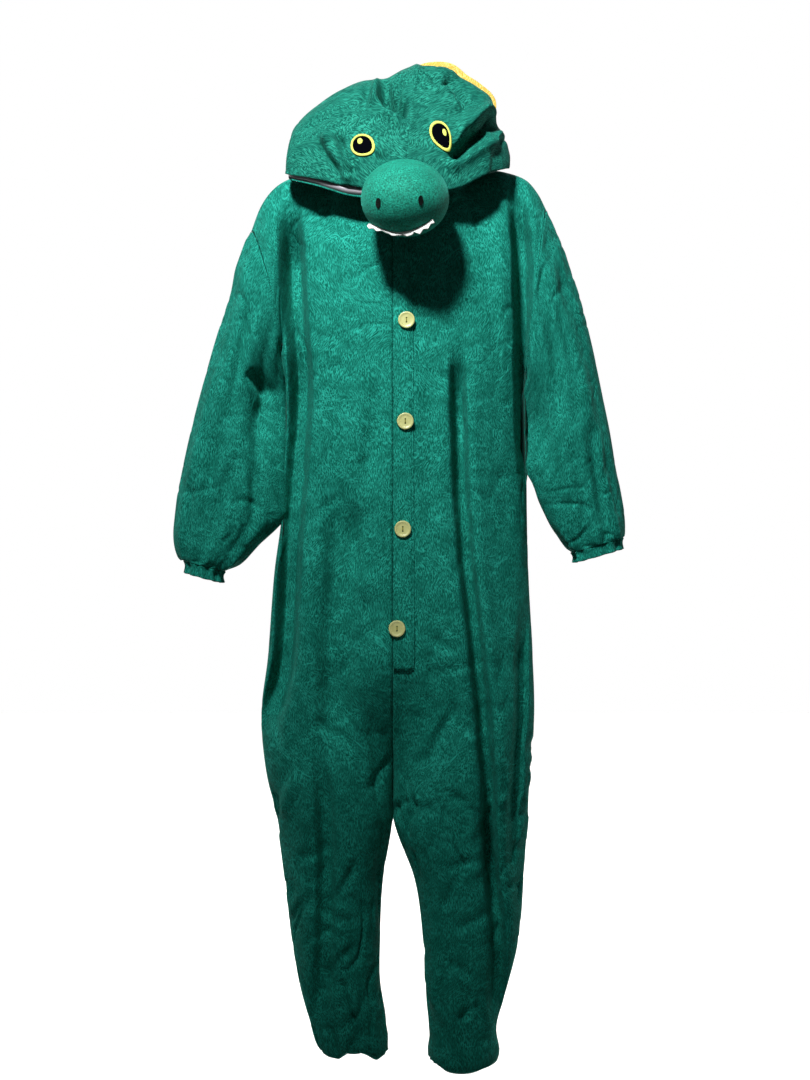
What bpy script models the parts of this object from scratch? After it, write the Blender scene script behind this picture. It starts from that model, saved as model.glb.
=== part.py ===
"""A hooded dinosaur costume: a loose plush onesie with a stuffed snout, filled out and hollow.

Lengths in the tables are millimetres. X runs to the wearer's left, Y to the back, Z up. The origin
is at the top of the shoulders, where the wearer carries it. "Right" and "left" are the wearer's.
"""

import math

import bmesh
import bpy
import numpy as np
from mathutils import Matrix

MM = 0.001
FACING = Matrix.Rotation(math.pi / 2, 3, "X")  # turns a disc that lies flat to face forward
SEAM = 0.3  # gap between two pieces that are sewn together
PLUSH = 2.6  # thickness of the plush cloth
SATIN = 1.2
FELT = 2.2
RIGHT, LEFT = -1, 1

CROTCH = -1014
RISE = 280  # height over which the two fronts part into legs
CENTRE = -11  # x of the fastening
LEG_SIDE = 2.2  # roundness of a leg's section, 2 is an ellipse
TORSO_SIDE = 2.5

# Torso and legs, from the ankle up: height, outer edge, inner edge, front depth, back depth.
OUTLINE = {
    RIGHT: (
        (-1378, -121, -25, 46, 46),
        (-1362, -132, -24, 50, 50),
        (-1331, -146, -23, 55, 54),
        (-1266, -163, -32, 60, 58),
        (-1176, -176, -31, 66, 66),
        (-1100, -184, -26, 72, 76),
        (-1014, -196, -12, 86, 92),
        (-926, -214, CENTRE, 98, 102),
        (-845, -221, CENTRE, 104, 108),
        (-754, -211, CENTRE, 105, 107),
        (-621, -201, CENTRE, 103, 103),
        (-538, -190, CENTRE, 101, 100),
        (-450, -184, CENTRE, 100, 97),
        (-344, -181, CENTRE, 99, 94),
        (-270, -190, CENTRE, 96, 90),
    ),
    LEFT: (
        (-1398, 148, 50, 48, 48),
        (-1380, 154, 49, 51, 51),
        (-1340, 155, 46, 55, 54),
        (-1301, 166, 42, 58, 57),
        (-1208, 186, 38, 64, 65),
        (-1110, 197, 24, 72, 76),
        (-1014, 204, -10, 86, 92),
        (-926, 208, CENTRE, 98, 102),
        (-845, 212, CENTRE, 104, 108),
        (-754, 212, CENTRE, 105, 107),
        (-621, 205, CENTRE, 103, 103),
        (-538, 203, CENTRE, 101, 100),
        (-450, 202, CENTRE, 100, 97),
        (-344, 199, CENTRE, 99, 94),
        (-300, 202, CENTRE, 97, 90),
    ),
}

# Each shoulder: share of the way from the sleeve to the neck, x, z.
SHOULDER = {
    RIGHT: (
        (0, -238, -75), (0.2, -223, -36), (0.4, -204, -9),
        (0.62, -178, 8), (0.8, -140, 18), (1, -96, 22),
    ),
    LEFT: (
        (0, 234, -41), (0.2, 220, -14), (0.4, 200, 8),
        (0.62, 166, 20), (0.8, 132, 24), (1, 92, 24),
    ),
}
SHOULDER_SHARE = 0.52  # part of the top edge that is shoulder seam; the rest is neckline
NECK_FRONT = (-78, -62)  # y and z of the neckline at the fastening
NECK_BACK = (62, 8)
ARMHOLE_DEPTH = 62
ARMHOLE_INSET = {RIGHT: 12, LEFT: 6}
INSET_TURN, LIFT_TURN = 0.55, 0.4  # turns over which the armhole's inset and the chest's lift fade out
CHEST_ROUND, LIFT_ROUND = 0.8, 1.15  # how early the chest curves back, and how late it rises

# Deep folds hanging down the body: side, front or back, depth, half width, then x at each height.
BODY_FOLDS = (
    (
        RIGHT, 1, 24, 11,
        ((-850, -214), (-754, -188), (-664, -180), (-560, -172), (-340, -158), (-200, -166), (-69, -174)),
    ),
    (LEFT, 1, 16, 11, ((-480, 206), (-390, 199), (-290, 197), (-184, 194), (-30, 184))),
    (
        LEFT, 1, 13, 9,
        ((-1300, 152), (-1176, 152), (-1062, 142), (-896, 134), (-680, 112), (-480, 94), (-300, 90)),
    ),
    (LEFT, 1, 9, 9, ((-1050, 184), (-886, 192), (-754, 196), (-700, 200))),
    (RIGHT, 1, 10, 24, ((-880, -104), (-700, -98), (-600, -92), (-500, -94))),
    (RIGHT, 1, 10, 13, ((-1300, -124), (-1176, -118), (-1030, -116), (-920, -124))),
    (RIGHT, -1, 16, 16, ((-900, -150), (-700, -128), (-420, -112), (-200, -104))),
    (LEFT, -1, 16, 16, ((-940, 158), (-700, 132), (-440, 118), (-180, 106))),
    (RIGHT, -1, 11, 14, ((-1300, -96), (-1100, -98), (-980, -76), (-760, -60))),
    (LEFT, -1, 11, 14, ((-1300, 96), (-1120, 92), (-980, 66), (-800, 52))),
)
FOLD_FADE, FOLD_TURN = 70, 0.12  # height and turn over which a fold comes and goes

# Sleeves, from the armhole down: outer x and z, inner x and z, depth.
SLEEVE = {
    RIGHT: (
        (-238, -75, -190, -270, 124),
        (-251, -112, -193, -289, 122),
        (-266, -160, -195, -320, 118),
        (-285, -232, -196, -363, 116),
        (-312, -328, -196, -408, 114),
        (-330, -398, -196, -453, 112),
        (-346, -472, -195, -498, 110),
        (-355, -536, -198, -536, 106),
        (-357, -570, -222, -572, 98),
        (-352, -592, -252, -606, 88),
        (-345, -600, -280, -618, 78),
    ),
    LEFT: (
        (234, -41, 202, -300, 124),
        (250, -80, 206, -324, 122),
        (267, -123, 208, -349, 118),
        (286, -184, 208, -379, 116),
        (304, -256, 209, -414, 114),
        (319, -328, 212, -452, 112),
        (333, -395, 226, -480, 108),
        (346, -464, 238, -518, 102),
        (356, -520, 246, -552, 94),
        (358, -555, 262, -578, 86),
        (356, -564, 274, -588, 78),
    ),
}
CUFF = {
    RIGHT: ((-345, -600, -280, -618, 78), (-342, -609, -284, -626, 76), (-344, -620, -282, -636, 80)),
    LEFT: ((356, -564, 274, -588, 78), (354, -572, 278, -595, 76), (356, -582, 277, -604, 80)),
}
SLEEVE_SIDE = 2.2  # roundness of the sleeve's section below the armhole
CUFF_GATHERS, CUFF_GATHER_DEPTH, SLEEVE_GATHER = 12, 2.2, 0.035
HEM_GATHERS, HEM_GATHER_DEPTH, HEM_ROW = 12, 0.048, 0.0135

# The hood's crown line as seen from the front: share of the way from the seam to the ear, x, z.
HOOD_CROWN = {
    RIGHT: (
        (0, 26, 189), (0.08, 4, 181), (0.16, -22, 168), (0.28, -59, 164), (0.42, -94, 150),
        (0.56, -128, 127), (0.68, -155, 105), (0.78, -172, 82), (0.9, -178, 44), (1, -176, 16),
    ),
    LEFT: (
        (0, 26, 189), (0.1, 50, 190), (0.2, 78, 186), (0.3, 98, 169), (0.42, 122, 154),
        (0.54, 144, 136), (0.66, 150, 106), (0.78, 164, 80), (0.9, 174, 46), (1, 168, 27),
    ),
}
# The brim and the lip below it: share, brim z, forward depth, backward depth, slit between brim and lip.
HOOD_EDGE = {
    RIGHT: (
        (0, -30, 126, 110, 14), (0.28, -24, 123, 108, 20), (0.56, -8, 107, 98, 16),
        (0.78, 2, 82, 78, 12), (0.9, 8, 58, 56, 8), (1, 12, 34, 36, 5),
    ),
    LEFT: (
        (0, -30, 126, 110, 14), (0.3, -28, 122, 106, 16), (0.54, -2, 105, 96, 14),
        (0.78, 10, 80, 76, 12), (0.9, 16, 56, 56, 8), (1, 22, 34, 36, 5),
    ),
}
SEAM_LEAN = 20  # the centre seam runs this far towards the left between brim and crown
NECK_SHARE = 0.6  # part of the hood's lower edge that is sewn to the back neckline
BACK_TURN = 0.7  # how far round the back of the head turns in, of half a circle
CORNER_FORWARD, CORNER_BOW, CORNER_RISE = 0.9, 1.5, 13  # how the lower edge runs on to the front corner
# Troughs, and ridges where the depth is negative, on the hood's front: side, two ends as x and z, depth,
# half width.
HOOD_FOLDS = (
    (RIGHT, -24, 128, 8, 98, 24, 12),
    (LEFT, 81, 152, 104, 122, 22, 12),
    (LEFT, 142, 84, 88, 28, 24, 10),
    (LEFT, 158, 64, 84, 12, -9, 11),
    (LEFT, 134, 106, 96, 74, -8, 12),
    (RIGHT, -105, 42, -74, 0, 12, 8),
    (RIGHT, -116, 50, -78, -8, -8, 9),
)
HOOD_FOLDS_END, HOOD_FOLD_FADE, SEAM_FLAT = 1.15, 0.25, 0.06  # row they end at, its fade, share at the seam

LIP_ACROSS, LIP_FORWARD = 0.97, 0.95  # the lip's size beside the brim's
CHIN_LIFT, CHIN_SIDE_LIFT = 14, 8.4  # the chin rises this much, at the fastening and at the sides, then dips
SNOUT_CENTRE, SNOUT_HALF = (8, -163, -55), (67, 74, 57)
SNOUT_BACK, SNOUT_RISE = -126.5, 16  # it is sewn flat on the hood here, this much higher than its tip
LINING_GAP, LINING_ROW = 4.8, 0.07  # where the lining leaves the hood
LINING_BACK, LINING_UP = 10, 13  # its lower edge, from the lip
# Embroidered eyes: side, share and row on the hood, half sizes in share and row.
EYES = ((RIGHT, 0.245, 0.224, 0.066, 0.066), (LEFT, 0.185, 0.262, 0.064, 0.074))
EYE_THICK = 1.4
EYE_GAP = {RIGHT: 2 * SEAM, LEFT: 3 * SEAM}  # from the middle of the pad to the cloth, which curves below it
DISC_STEPS = 0.96  # a disc's grid ends short of its corners, where its two edges would run into one line
NOSTRILS = ((RIGHT, -0.6, -0.2), (LEFT, 0.35, -0.16))  # side, then across and up on the snout
NOSTRIL_HALF, NOSTRIL_OUT = (0.055, 0.125), 1.6
# The mouth line on the snout, in shares of its half sizes: its middle, then how far it runs and rises.
MOUTH_MIDDLE, MOUTH_WIDE, MOUTH_RISE = (-0.1, -0.9), 0.72, 0.42
TEETH, TOOTH_LONG, GUM_LONG = 5, 13, 4
TOOTH_LEAN = (0.35, -0.45, -0.8)  # the way they point, for each mm
CREST_ROW, CREST_HIGH, CREST_LOW, CREST_THICK, CREST_END = 1.1, 22, 4, 7, 0.6

PLACKET_ROWS = 0.56, 1.93
BUTTON_RADIUS, BUTTON_THICK = 13, 4.2
BUTTONS = ((10.3, -227), (8.5, -384), (4.6, -551), (-4.4, -705))  # x and z of each

ARM_HOLLOW = {RIGHT: (-215, -345, 34, 46), LEFT: (214, -385, 30, 60)}  # x, z, depth, half height
HOLLOW_WIDE, HOLLOW_START = 24, 12  # its half width, and the y over which it starts


def read(table, at):
    """The columns of a table at values of its first one, along smooth curves through its rows."""
    rows = np.array(table, float)
    keys = rows[:, 0]
    at = np.clip(at, keys[0], keys[-1])
    low = np.clip(np.searchsorted(keys, at, side="right") - 1, 0, len(keys) - 2)
    high = low + 1
    before, after = np.maximum(low - 1, 0), np.minimum(high + 1, len(keys) - 1)
    span = (keys[high] - keys[low])[..., None]
    t = (at - keys[low])[..., None] / span
    start, end = rows[low, 1:], rows[high, 1:]
    leaving = (end - rows[before, 1:]) / (keys[high] - keys[before])[..., None] * span
    coming = (rows[after, 1:] - start) / (keys[after] - keys[low])[..., None] * span
    curve = start + t * leaving + t**2 * (3 * (end - start) - 2 * leaving - coming)
    curve += t**3 * (2 * (start - end) + leaving + coming)
    return np.moveaxis(curve, -1, 0)


def ease(t):
    t = np.clip(t, 0, 1)
    return t * t * (3 - 2 * t)


def signed_power(value, power):
    return np.sign(value) * np.abs(value) ** power


def rounded(angle, roundness):
    """Cosine and sine of a rounded rectangle; a roundness of 2 is a circle."""
    power = 2 / roundness
    return signed_power(np.cos(angle), power), signed_power(np.sin(angle), power)


def torso_and_leg(side, turn, height):
    """A point of the body below the armholes. Turn is 0 at the side seam, 1 at the front, -1 at the back."""
    outer, inner, front, back = read(OUTLINE[side], height)
    inner = np.where(height > CROTCH, CENTRE, CENTRE + side * np.maximum(side * (inner - CENTRE), 0))
    depth = np.where(turn > 0, front, back)
    across, out = rounded(turn * math.pi / 2, TORSO_SIDE)
    torso = inner + (outer - inner) * across, -depth * out
    around, out = rounded(turn * math.pi, LEG_SIDE)
    leg = (outer + inner) / 2 + (outer - inner) / 2 * around, -depth * out
    whole = ease((height - CROTCH) / RISE)
    x = leg[0] + (torso[0] - leg[0]) * whole
    y = leg[1] + (torso[1] - leg[1]) * whole
    return np.array((x, y, height + 0 * turn))


def top_edge(side, turn):
    """The shoulder seam, then the neckline down to the fastening or the nape."""
    share = np.abs(turn)
    x, z = read(SHOULDER[side], share / SHOULDER_SHARE)
    neck_x, neck_z = SHOULDER[side][-1][1:]
    y_end = np.where(turn > 0, NECK_FRONT[0], NECK_BACK[0])
    z_end = np.where(turn > 0, NECK_FRONT[1], NECK_BACK[1])
    angle = np.clip((share - SHOULDER_SHARE) / (1 - SHOULDER_SHARE), 0, 1.1) * math.pi / 2
    on_neck = share > SHOULDER_SHARE
    x = np.where(on_neck, CENTRE + (neck_x - CENTRE) * np.cos(angle), x)
    y = np.where(on_neck, y_end * np.sin(angle), 0)
    z = np.where(on_neck, neck_z + (z_end - neck_z) * np.sin(angle) ** 2, z)
    return x, y, z


def chest_and_shoulder(side, turn, rise):
    """A point between the underarm, rise 0, and the shoulder seam and neckline, rise 1."""
    underarm = OUTLINE[side][-1][0]
    low_x, low_y, low_z = torso_and_leg(side, turn, underarm + 0 * turn)
    top_x, top_y, top_z = top_edge(side, turn)
    share = np.abs(turn)
    swing = (1 - np.cos(math.pi * rise)) / 2
    fade = np.clip(1 - share / INSET_TURN, 0, 1) ** 2
    bulge = ARMHOLE_DEPTH * np.sin(math.pi * rise) * (1 - share)
    x = low_x + (top_x - low_x) * swing - side * ARMHOLE_INSET[side] * np.sin(math.pi * rise) * fade
    path = top_y + (low_y - top_y) * np.cos(rise * math.pi / 2) ** CHEST_ROUND
    facing = np.where(turn > 0, -1, 1)
    y = facing * (np.abs(path) ** 3 + bulge**3) ** (1 / 3)
    lift = np.sin(rise * math.pi / 2) ** LIFT_ROUND
    z = underarm + (top_z - underarm) * (swing + (lift - swing) * ease(share / LIFT_TURN))
    return np.array((x, y, z))


def body(side, turn, row):
    """Row runs from 0 at the ankle to 1 at the underarm and 2 at the shoulder."""
    turn, row = np.broadcast_arrays(np.asarray(turn, float), np.asarray(row, float))
    over = (row > 2) & (np.abs(turn) < SHOULDER_SHARE)
    turn, row = np.where(over, -turn, turn), np.where(over, 4 - row, row)
    ankle, underarm = OUTLINE[side][0][0], OUTLINE[side][-1][0]
    height = ankle + (underarm - ankle) * np.clip(row, 0, 1)
    low = torso_and_leg(side, turn, height)
    high = chest_and_shoulder(side, turn, np.clip(row - 1, 0, 1))
    return np.where(row > 1, high, low)


def fold_depth(side, turn, place):
    """How deep the hanging folds of a half are at a place on it."""
    x, y, z = place
    depth = 0 * x
    for fold_side, face, deep, half_width, path in BODY_FOLDS:
        if fold_side != side:
            continue
        on_face = ease(face * turn / FOLD_TURN)
        middle = read(path, z)[0]
        inside = ease((z - path[0][0]) / FOLD_FADE + 0.5) * ease((path[-1][0] - z) / FOLD_FADE + 0.5)
        depth = depth + deep * on_face * inside * np.exp(-(((x - middle) / half_width) ** 2))
    return depth


def normals(surface, u, v, step=0.01):
    along = surface(u + step, v) - surface(u - step, v)
    up = surface(u, v + step) - surface(u, v - step)
    normal = np.cross(along, up, axis=0)
    return normal / np.maximum(np.linalg.norm(normal, axis=0), 1e-9)


def folded_body(side, turn, row):
    turn, row = np.broadcast_arrays(np.asarray(turn, float), np.asarray(row, float))
    place = body(side, turn, row)
    inward = side * normals(lambda u, v: body(side, u, v), turn, row)
    return place + inward * fold_depth(side, turn, place)


def sleeve(side, table, turn, row):
    """Turn is -1 to 1 round the sleeve, 0 at its outer side; row counts the table's rows."""
    numbered = [(number, *values) for number, values in enumerate(table)]
    turn, row = np.broadcast_arrays(np.asarray(turn, float), np.asarray(row, float))
    outer_x, outer_z, inner_x, inner_z, depth = read(numbered, row)
    angle = turn * math.pi
    across, out = rounded(angle, 2 + (SLEEVE_SIDE - 2) * ease(row / 2))
    x = (outer_x + inner_x) / 2 + (outer_x - inner_x) / 2 * across
    z = (outer_z + inner_z) / 2 + (outer_z - inner_z) / 2 * across
    return np.array((x, -depth / 2 * out, z))


def sleeve_cloth(side, turn, row):
    turn, row = np.broadcast_arrays(np.asarray(turn, float), np.asarray(row, float))
    x, y, z = sleeve(side, SLEEVE[side], turn, row)
    joined = np.clip(1 - row / 2, 0, 1)
    x = x + side * (3 * SEAM - ARMHOLE_INSET[side] * np.abs(np.sin(turn * math.pi)) * joined)
    hollow_x, hollow_z, deep, high = ARM_HOLLOW[side]
    near = np.exp(-(((x - hollow_x) / HOLLOW_WIDE) ** 2) - ((z - hollow_z) / high) ** 2)
    y = y + deep * near * ease(-y / HOLLOW_START) * ease(row / 2)
    last = len(SLEEVE[side]) - 1
    pleat = 1 + SLEEVE_GATHER * np.cos(turn * math.pi * CUFF_GATHERS) * ease((row - last + 3) / 3)
    return np.array((x, y * pleat, z))


def cuff(side, turn, row):
    x, y, z = sleeve(side, CUFF[side], turn, row)
    angle = np.asarray(turn) * math.pi
    pleat = CUFF_GATHER_DEPTH * np.cos(angle * CUFF_GATHERS)
    return np.array((x + pleat * np.cos(angle) * side, y - pleat * np.sin(angle), z))


def hood(side, share, row):
    """A point of a hood half: share 0 is the centre seam, row 0 the brim, 1 the crown and 2 the neck."""
    share, row = np.broadcast_arrays(np.asarray(share, float), np.asarray(row, float))
    crown_x, crown_z = read(HOOD_CROWN[side], share)
    brim_z, front, back = read(HOOD_EDGE[side], share)[:3]
    angle = np.clip(row, -0.1, 1) * math.pi / 2
    front_x = crown_x - SEAM_LEAN * (1 - np.sin(angle)) * (1 - share)
    front_place = np.array((front_x, -front * np.cos(angle), brim_z + (crown_z - brim_z) * np.sin(angle)))
    down = np.clip(row - 1, 0, 1.1)
    on_neck = np.clip(share / NECK_SHARE, 0, 1)
    neck_x, neck_y, neck_z = top_edge(side, -1 + (1 - SHOULDER_SHARE) * on_neck)
    over = np.clip((share - NECK_SHARE) / (1 - NECK_SHARE), 0, 1)
    end_x, end_z = HOOD_CROWN[side][-1][1:]
    neck_x = neck_x + (end_x - neck_x) * over
    neck_y = neck_y - front * CORNER_FORWARD * over**CORNER_BOW
    neck_z = neck_z + 5 * SEAM + (end_z - 2 - neck_z) * over + CORNER_RISE * np.sin(over * math.pi)
    turned = math.pi * BACK_TURN
    back_y = back * np.sin(turned * down) + (neck_y - back * math.sin(turned)) * down**2
    back_z = crown_z - (crown_z - neck_z) * (1 - np.cos(down * math.pi / 2))
    back_place = np.array((crown_x + (neck_x - crown_x) * ease(down), back_y, back_z))
    return np.where(row > 1, back_place, front_place)


def folded_hood(side, share, row):
    share, row = np.broadcast_arrays(np.asarray(share, float), np.asarray(row, float))
    place = hood(side, share, row)
    inward = -side * normals(lambda u, v: hood(side, u, v), share, row)
    depth = 0 * share
    for fold_side, x1, z1, x2, z2, deep, half_width in HOOD_FOLDS:
        if fold_side != side:
            continue
        length = math.hypot(x2 - x1, z2 - z1)
        along = ((place[0] - x1) * (x2 - x1) + (place[2] - z1) * (z2 - z1)) / length**2
        off = ((place[0] - x1) * (z2 - z1) - (place[2] - z1) * (x2 - x1)) / length
        past = np.maximum(np.abs(along - 0.5) - 0.5, 0) * length
        depth = depth + deep * np.exp(-((off / half_width) ** 2) - (past / half_width) ** 2)
    fade = ease((HOOD_FOLDS_END - row) / HOOD_FOLD_FADE) * ease(share / SEAM_FLAT)
    return place + inward * depth * fade


def lip(side, share):
    """The edge of the chin, just under the brim."""
    x, y, z = hood(side, share, 0 * share)
    slit = read(HOOD_EDGE[side], share)[3]
    return np.array((x * LIP_ACROSS, y * LIP_FORWARD, z - slit))


def chin(side, along, up):
    """From the neckline, up 0, to the lip, up 1. Along runs from the shoulder to the fastening."""
    along, up = np.broadcast_arrays(np.asarray(along, float), np.asarray(up, float))
    low = np.array(top_edge(side, SHOULDER_SHARE + (1 - SHOULDER_SHARE) * along))
    high = lip(side, 1 - along)
    x, y, z = low + (high - low) * up
    swell = up * (1 - up) ** 2 * 27 / 4  # from 0 through 1, a third of the way up, and back to 0
    lift = swell * (CHIN_SIDE_LIFT + (CHIN_LIFT - CHIN_SIDE_LIFT) * along)
    middle = CENTRE + side * (SEAM / 2 + 0.4 * up)
    x = np.where(side * x < side * middle, middle, x)
    return np.array((x, y - 2 * SEAM, z + 7 * SEAM + lift))


def lining(side, share, drop):
    """The satin behind the slit: it leaves the inside of the brim and ends above the chin."""
    share, drop = np.broadcast_arrays(np.asarray(share, float), np.asarray(drop, float))
    edge = LINING_ROW + 0 * share
    outward = side * normals(lambda u, v: hood(side, u, v), share, edge)
    top = hood(side, share, edge) - outward * (PLUSH + LINING_GAP)
    bottom = lip(side, share) + np.array((0 * share, LINING_BACK + 0 * share, LINING_UP + 0 * share))
    return top + (bottom - top) * drop


def snout_front(across, up):
    """A point on the front of the snout, at shares of its half width and half height."""
    forward = np.sqrt(np.maximum(1 - across**2 - up**2, 0))
    x, y, z = SNOUT_CENTRE
    wide, deep, high = SNOUT_HALF
    return np.array((x + wide * across, y - deep * forward, z + high * up))


def tooth_strip(share, out):
    """The felt strip along the mouth, share -1 to 1; its points hang down and forward."""
    share, out = np.broadcast_arrays(np.asarray(share, float), np.asarray(out, float))
    middle_across, middle_up = MOUTH_MIDDLE
    base = snout_front(middle_across + MOUTH_WIDE * share, middle_up + MOUTH_RISE * share**2)
    point = 1 - np.abs(2 * ((share + 1) / 2 * TEETH % 1) - 1)
    long = (GUM_LONG + TOOTH_LONG * point) * out
    lean_x, lean_y, lean_z = TOOTH_LEAN
    tip = share * lean_x * long, lean_y * long - SEAM, lean_z * long - SEAM
    return base + np.array(tip)


def new_object(name, data, finish):
    data.materials.append(finish)
    data.shade_smooth()
    costume.objects.link(bpy.data.objects.new(name, data))


def closed_mesh(name, mesh, finish):
    bmesh.ops.recalc_face_normals(mesh, faces=mesh.faces)
    if mesh.calc_volume(signed=True) < 0:
        bmesh.ops.reverse_faces(mesh, faces=mesh.faces)
    data = bpy.data.meshes.new(name)
    mesh.to_mesh(data)
    mesh.free()
    new_object(name, data, finish)


def wall(name, surface, across, up, thick, outward, finish, closed=False):
    """A cloth wall on a surface: its outer points, and inner ones along the normals. Outward is 1 or -1."""
    u, v = np.meshgrid(np.array(across, float), np.array(up, float))
    outer = surface(u, v)
    inner = outer - outward * normals(surface, u, v) * thick
    mesh = bmesh.new()
    skins = []
    for skin in (outer, inner):
        points = np.moveaxis(skin, 0, -1) * MM
        skins.append([[mesh.verts.new(point) for point in line] for line in points])
    rows, columns = len(up), len(across)
    last = columns if closed else columns - 1
    outer_skin, inner_skin = skins
    for column in range(last):
        beside = (column + 1) % columns
        for low, high in zip(range(rows - 1), range(1, rows)):
            for skin in skins:
                mesh.faces.new((skin[low][column], skin[low][beside], skin[high][beside], skin[high][column]))
        for row in (0, rows - 1):
            outer_edge, inner_edge = outer_skin[row], inner_skin[row]
            mesh.faces.new((outer_edge[column], outer_edge[beside], inner_edge[beside], inner_edge[column]))
    for row in range(0 if closed else rows - 1):
        for column in (0, columns - 1):
            side_rim = outer_skin[row][column], outer_skin[row + 1][column]
            mesh.faces.new((*side_rim, inner_skin[row + 1][column], inner_skin[row][column]))
    closed_mesh(name, mesh, finish)


def material(name, red, green, blue, roughness):
    made = bpy.data.materials.new(name)
    made.use_nodes = True
    shader = made.node_tree.nodes["Principled BSDF"]
    shader.inputs["Base Color"].default_value = (red, green, blue, 1)
    shader.inputs["Roughness"].default_value = roughness
    return made


for old in list(bpy.data.objects):
    bpy.data.objects.remove(old, do_unlink=True)
costume = bpy.data.collections.new("dinosaur_costume")
bpy.context.scene.collection.children.link(costume)

green_plush = material("green_plush", 0.008, 0.16, 0.12, 0.9)
yellow_plush = material("yellow_plush", 0.75, 0.55, 0.12, 0.9)
grey_satin = material("grey_satin", 0.25, 0.24, 0.26, 0.4)
white_felt = material("white_felt", 0.8, 0.8, 0.8, 0.95)
dark_thread = material("dark_thread", 0.005, 0.005, 0.02, 0.6)
olive_plastic = material("olive_plastic", 0.5, 0.5, 0.2, 0.35)

SIDE_NAMES = {RIGHT: "right", LEFT: "left"}
ARMHOLE_STEPS = 12  # the body's rows and the sleeve's columns meet at the same points of the armhole
FRONT_NECK_TURNS = (0.52, 0.58, 0.64, 0.7, 0.76, 0.82, 0.88, 0.94, 0.999)
FRONT_SIDE_TURNS = {
    RIGHT: (0.001, 0.08, 0.16, 0.23, 0.29, 0.33, 0.37, 0.41, 0.46),
    LEFT: (0.001, 0.07, 0.12, 0.16, 0.2, 0.25, 0.32, 0.39, 0.46),
}
BACK_NECK_TURNS = (-0.999, -0.9, -0.8, -0.7, -0.61, -0.52)
BACK_SIDE_TURNS = (-0.45, -0.38, -0.3, -0.2, -0.1, -0.001)
BODY_ROWS = tuple(np.linspace(HEM_ROW, 1, 20)) + tuple(np.linspace(1, 2, ARMHOLE_STEPS + 1)[1:])
SLEEVE_TURNS = tuple(np.linspace(-1, 1, 2 * ARMHOLE_STEPS + 1)[:-1])
HOOD_SHARES = np.linspace(0.002, 0.98, 15)
HOOD_ROWS = tuple(np.linspace(0, 1, 8)) + tuple(np.linspace(1, 2, 7)[1:])


def make_body(side):
    named = SIDE_NAMES[side]

    def surface(turn, row):
        x, y, z = folded_body(side, turn, row)
        return np.array((x + side * SEAM / 2, y - np.sign(turn) * SEAM / 2, z))

    front = FRONT_SIDE_TURNS[side] + FRONT_NECK_TURNS
    wall(f"front_{named}", surface, front, BODY_ROWS, PLUSH, -side, green_plush)
    wall(f"back_{named}", surface, BACK_NECK_TURNS + BACK_SIDE_TURNS, BODY_ROWS, PLUSH, -side, green_plush)


def make_hem(side):
    """The elastic casing at the ankle, drawn in by its gathers."""
    ankle, underarm = OUTLINE[side][0][0], OUTLINE[side][-1][0]
    top = ankle + HEM_ROW * (underarm - ankle) - 5 * SEAM

    def surface(turn, height):
        x, y, z = torso_and_leg(side, turn, height)
        outer, inner = read(OUTLINE[side], height)[:2]
        pleat = 1 + HEM_GATHER_DEPTH * np.cos(turn * math.pi * HEM_GATHERS)
        middle = (outer + inner) / 2
        return np.array((middle + (x - middle) * pleat, y * pleat, z))

    heights = np.linspace(ankle, top, 3)
    wall(f"hem_{SIDE_NAMES[side]}", surface, SLEEVE_TURNS, heights, PLUSH, -side, green_plush, True)


def make_sleeve(side):
    named = SIDE_NAMES[side]
    last = len(SLEEVE[side]) - 1
    rows = np.linspace(0.05, last - 0.06, 12)

    def cloth(turn, row):
        return sleeve_cloth(side, turn, row)

    def casing(turn, row):
        return cuff(side, turn, row)

    wall(f"sleeve_{named}", cloth, SLEEVE_TURNS, rows, PLUSH, side, green_plush, True)
    wall(f"cuff_{named}", casing, SLEEVE_TURNS, (0.1, 1, 2), PLUSH, side, green_plush, True)


def make_hood(side):
    def surface(share, row):
        x, y, z = folded_hood(side, share, row)
        return np.array((x + side * SEAM / 2, y, z))

    wall(f"hood_{SIDE_NAMES[side]}", surface, HOOD_SHARES, HOOD_ROWS, PLUSH, side, green_plush)
    along = [(turn - SHOULDER_SHARE) / (1 - SHOULDER_SHARE) for turn in FRONT_NECK_TURNS]
    along[0] = 0.02
    up = np.linspace(0, 1, 6)
    wall(f"chin_{SIDE_NAMES[side]}", lambda u, v: chin(side, u, v), along, up, PLUSH, -side, green_plush)


def disc(across, up):
    """A square of points from -1 to 1 drawn round into a disc."""
    return across * np.sqrt(1 - up**2 / 2), up * np.sqrt(1 - across**2 / 2)


def make_eye(side, share, row, half_share, half_row):
    def surface(across, up):
        wide, high = disc(across, up)
        at_share, at_row = share + half_share * wide, row + half_row * high
        outward = side * normals(lambda u, v: folded_hood(side, u, v), at_share, at_row)
        return folded_hood(side, at_share, at_row) + outward * (EYE_THICK + EYE_GAP[side])

    steps = np.linspace(-DISC_STEPS, DISC_STEPS, 7)
    wall(f"eye_{SIDE_NAMES[side]}", surface, steps, steps, EYE_THICK, side, dark_thread)


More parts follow.
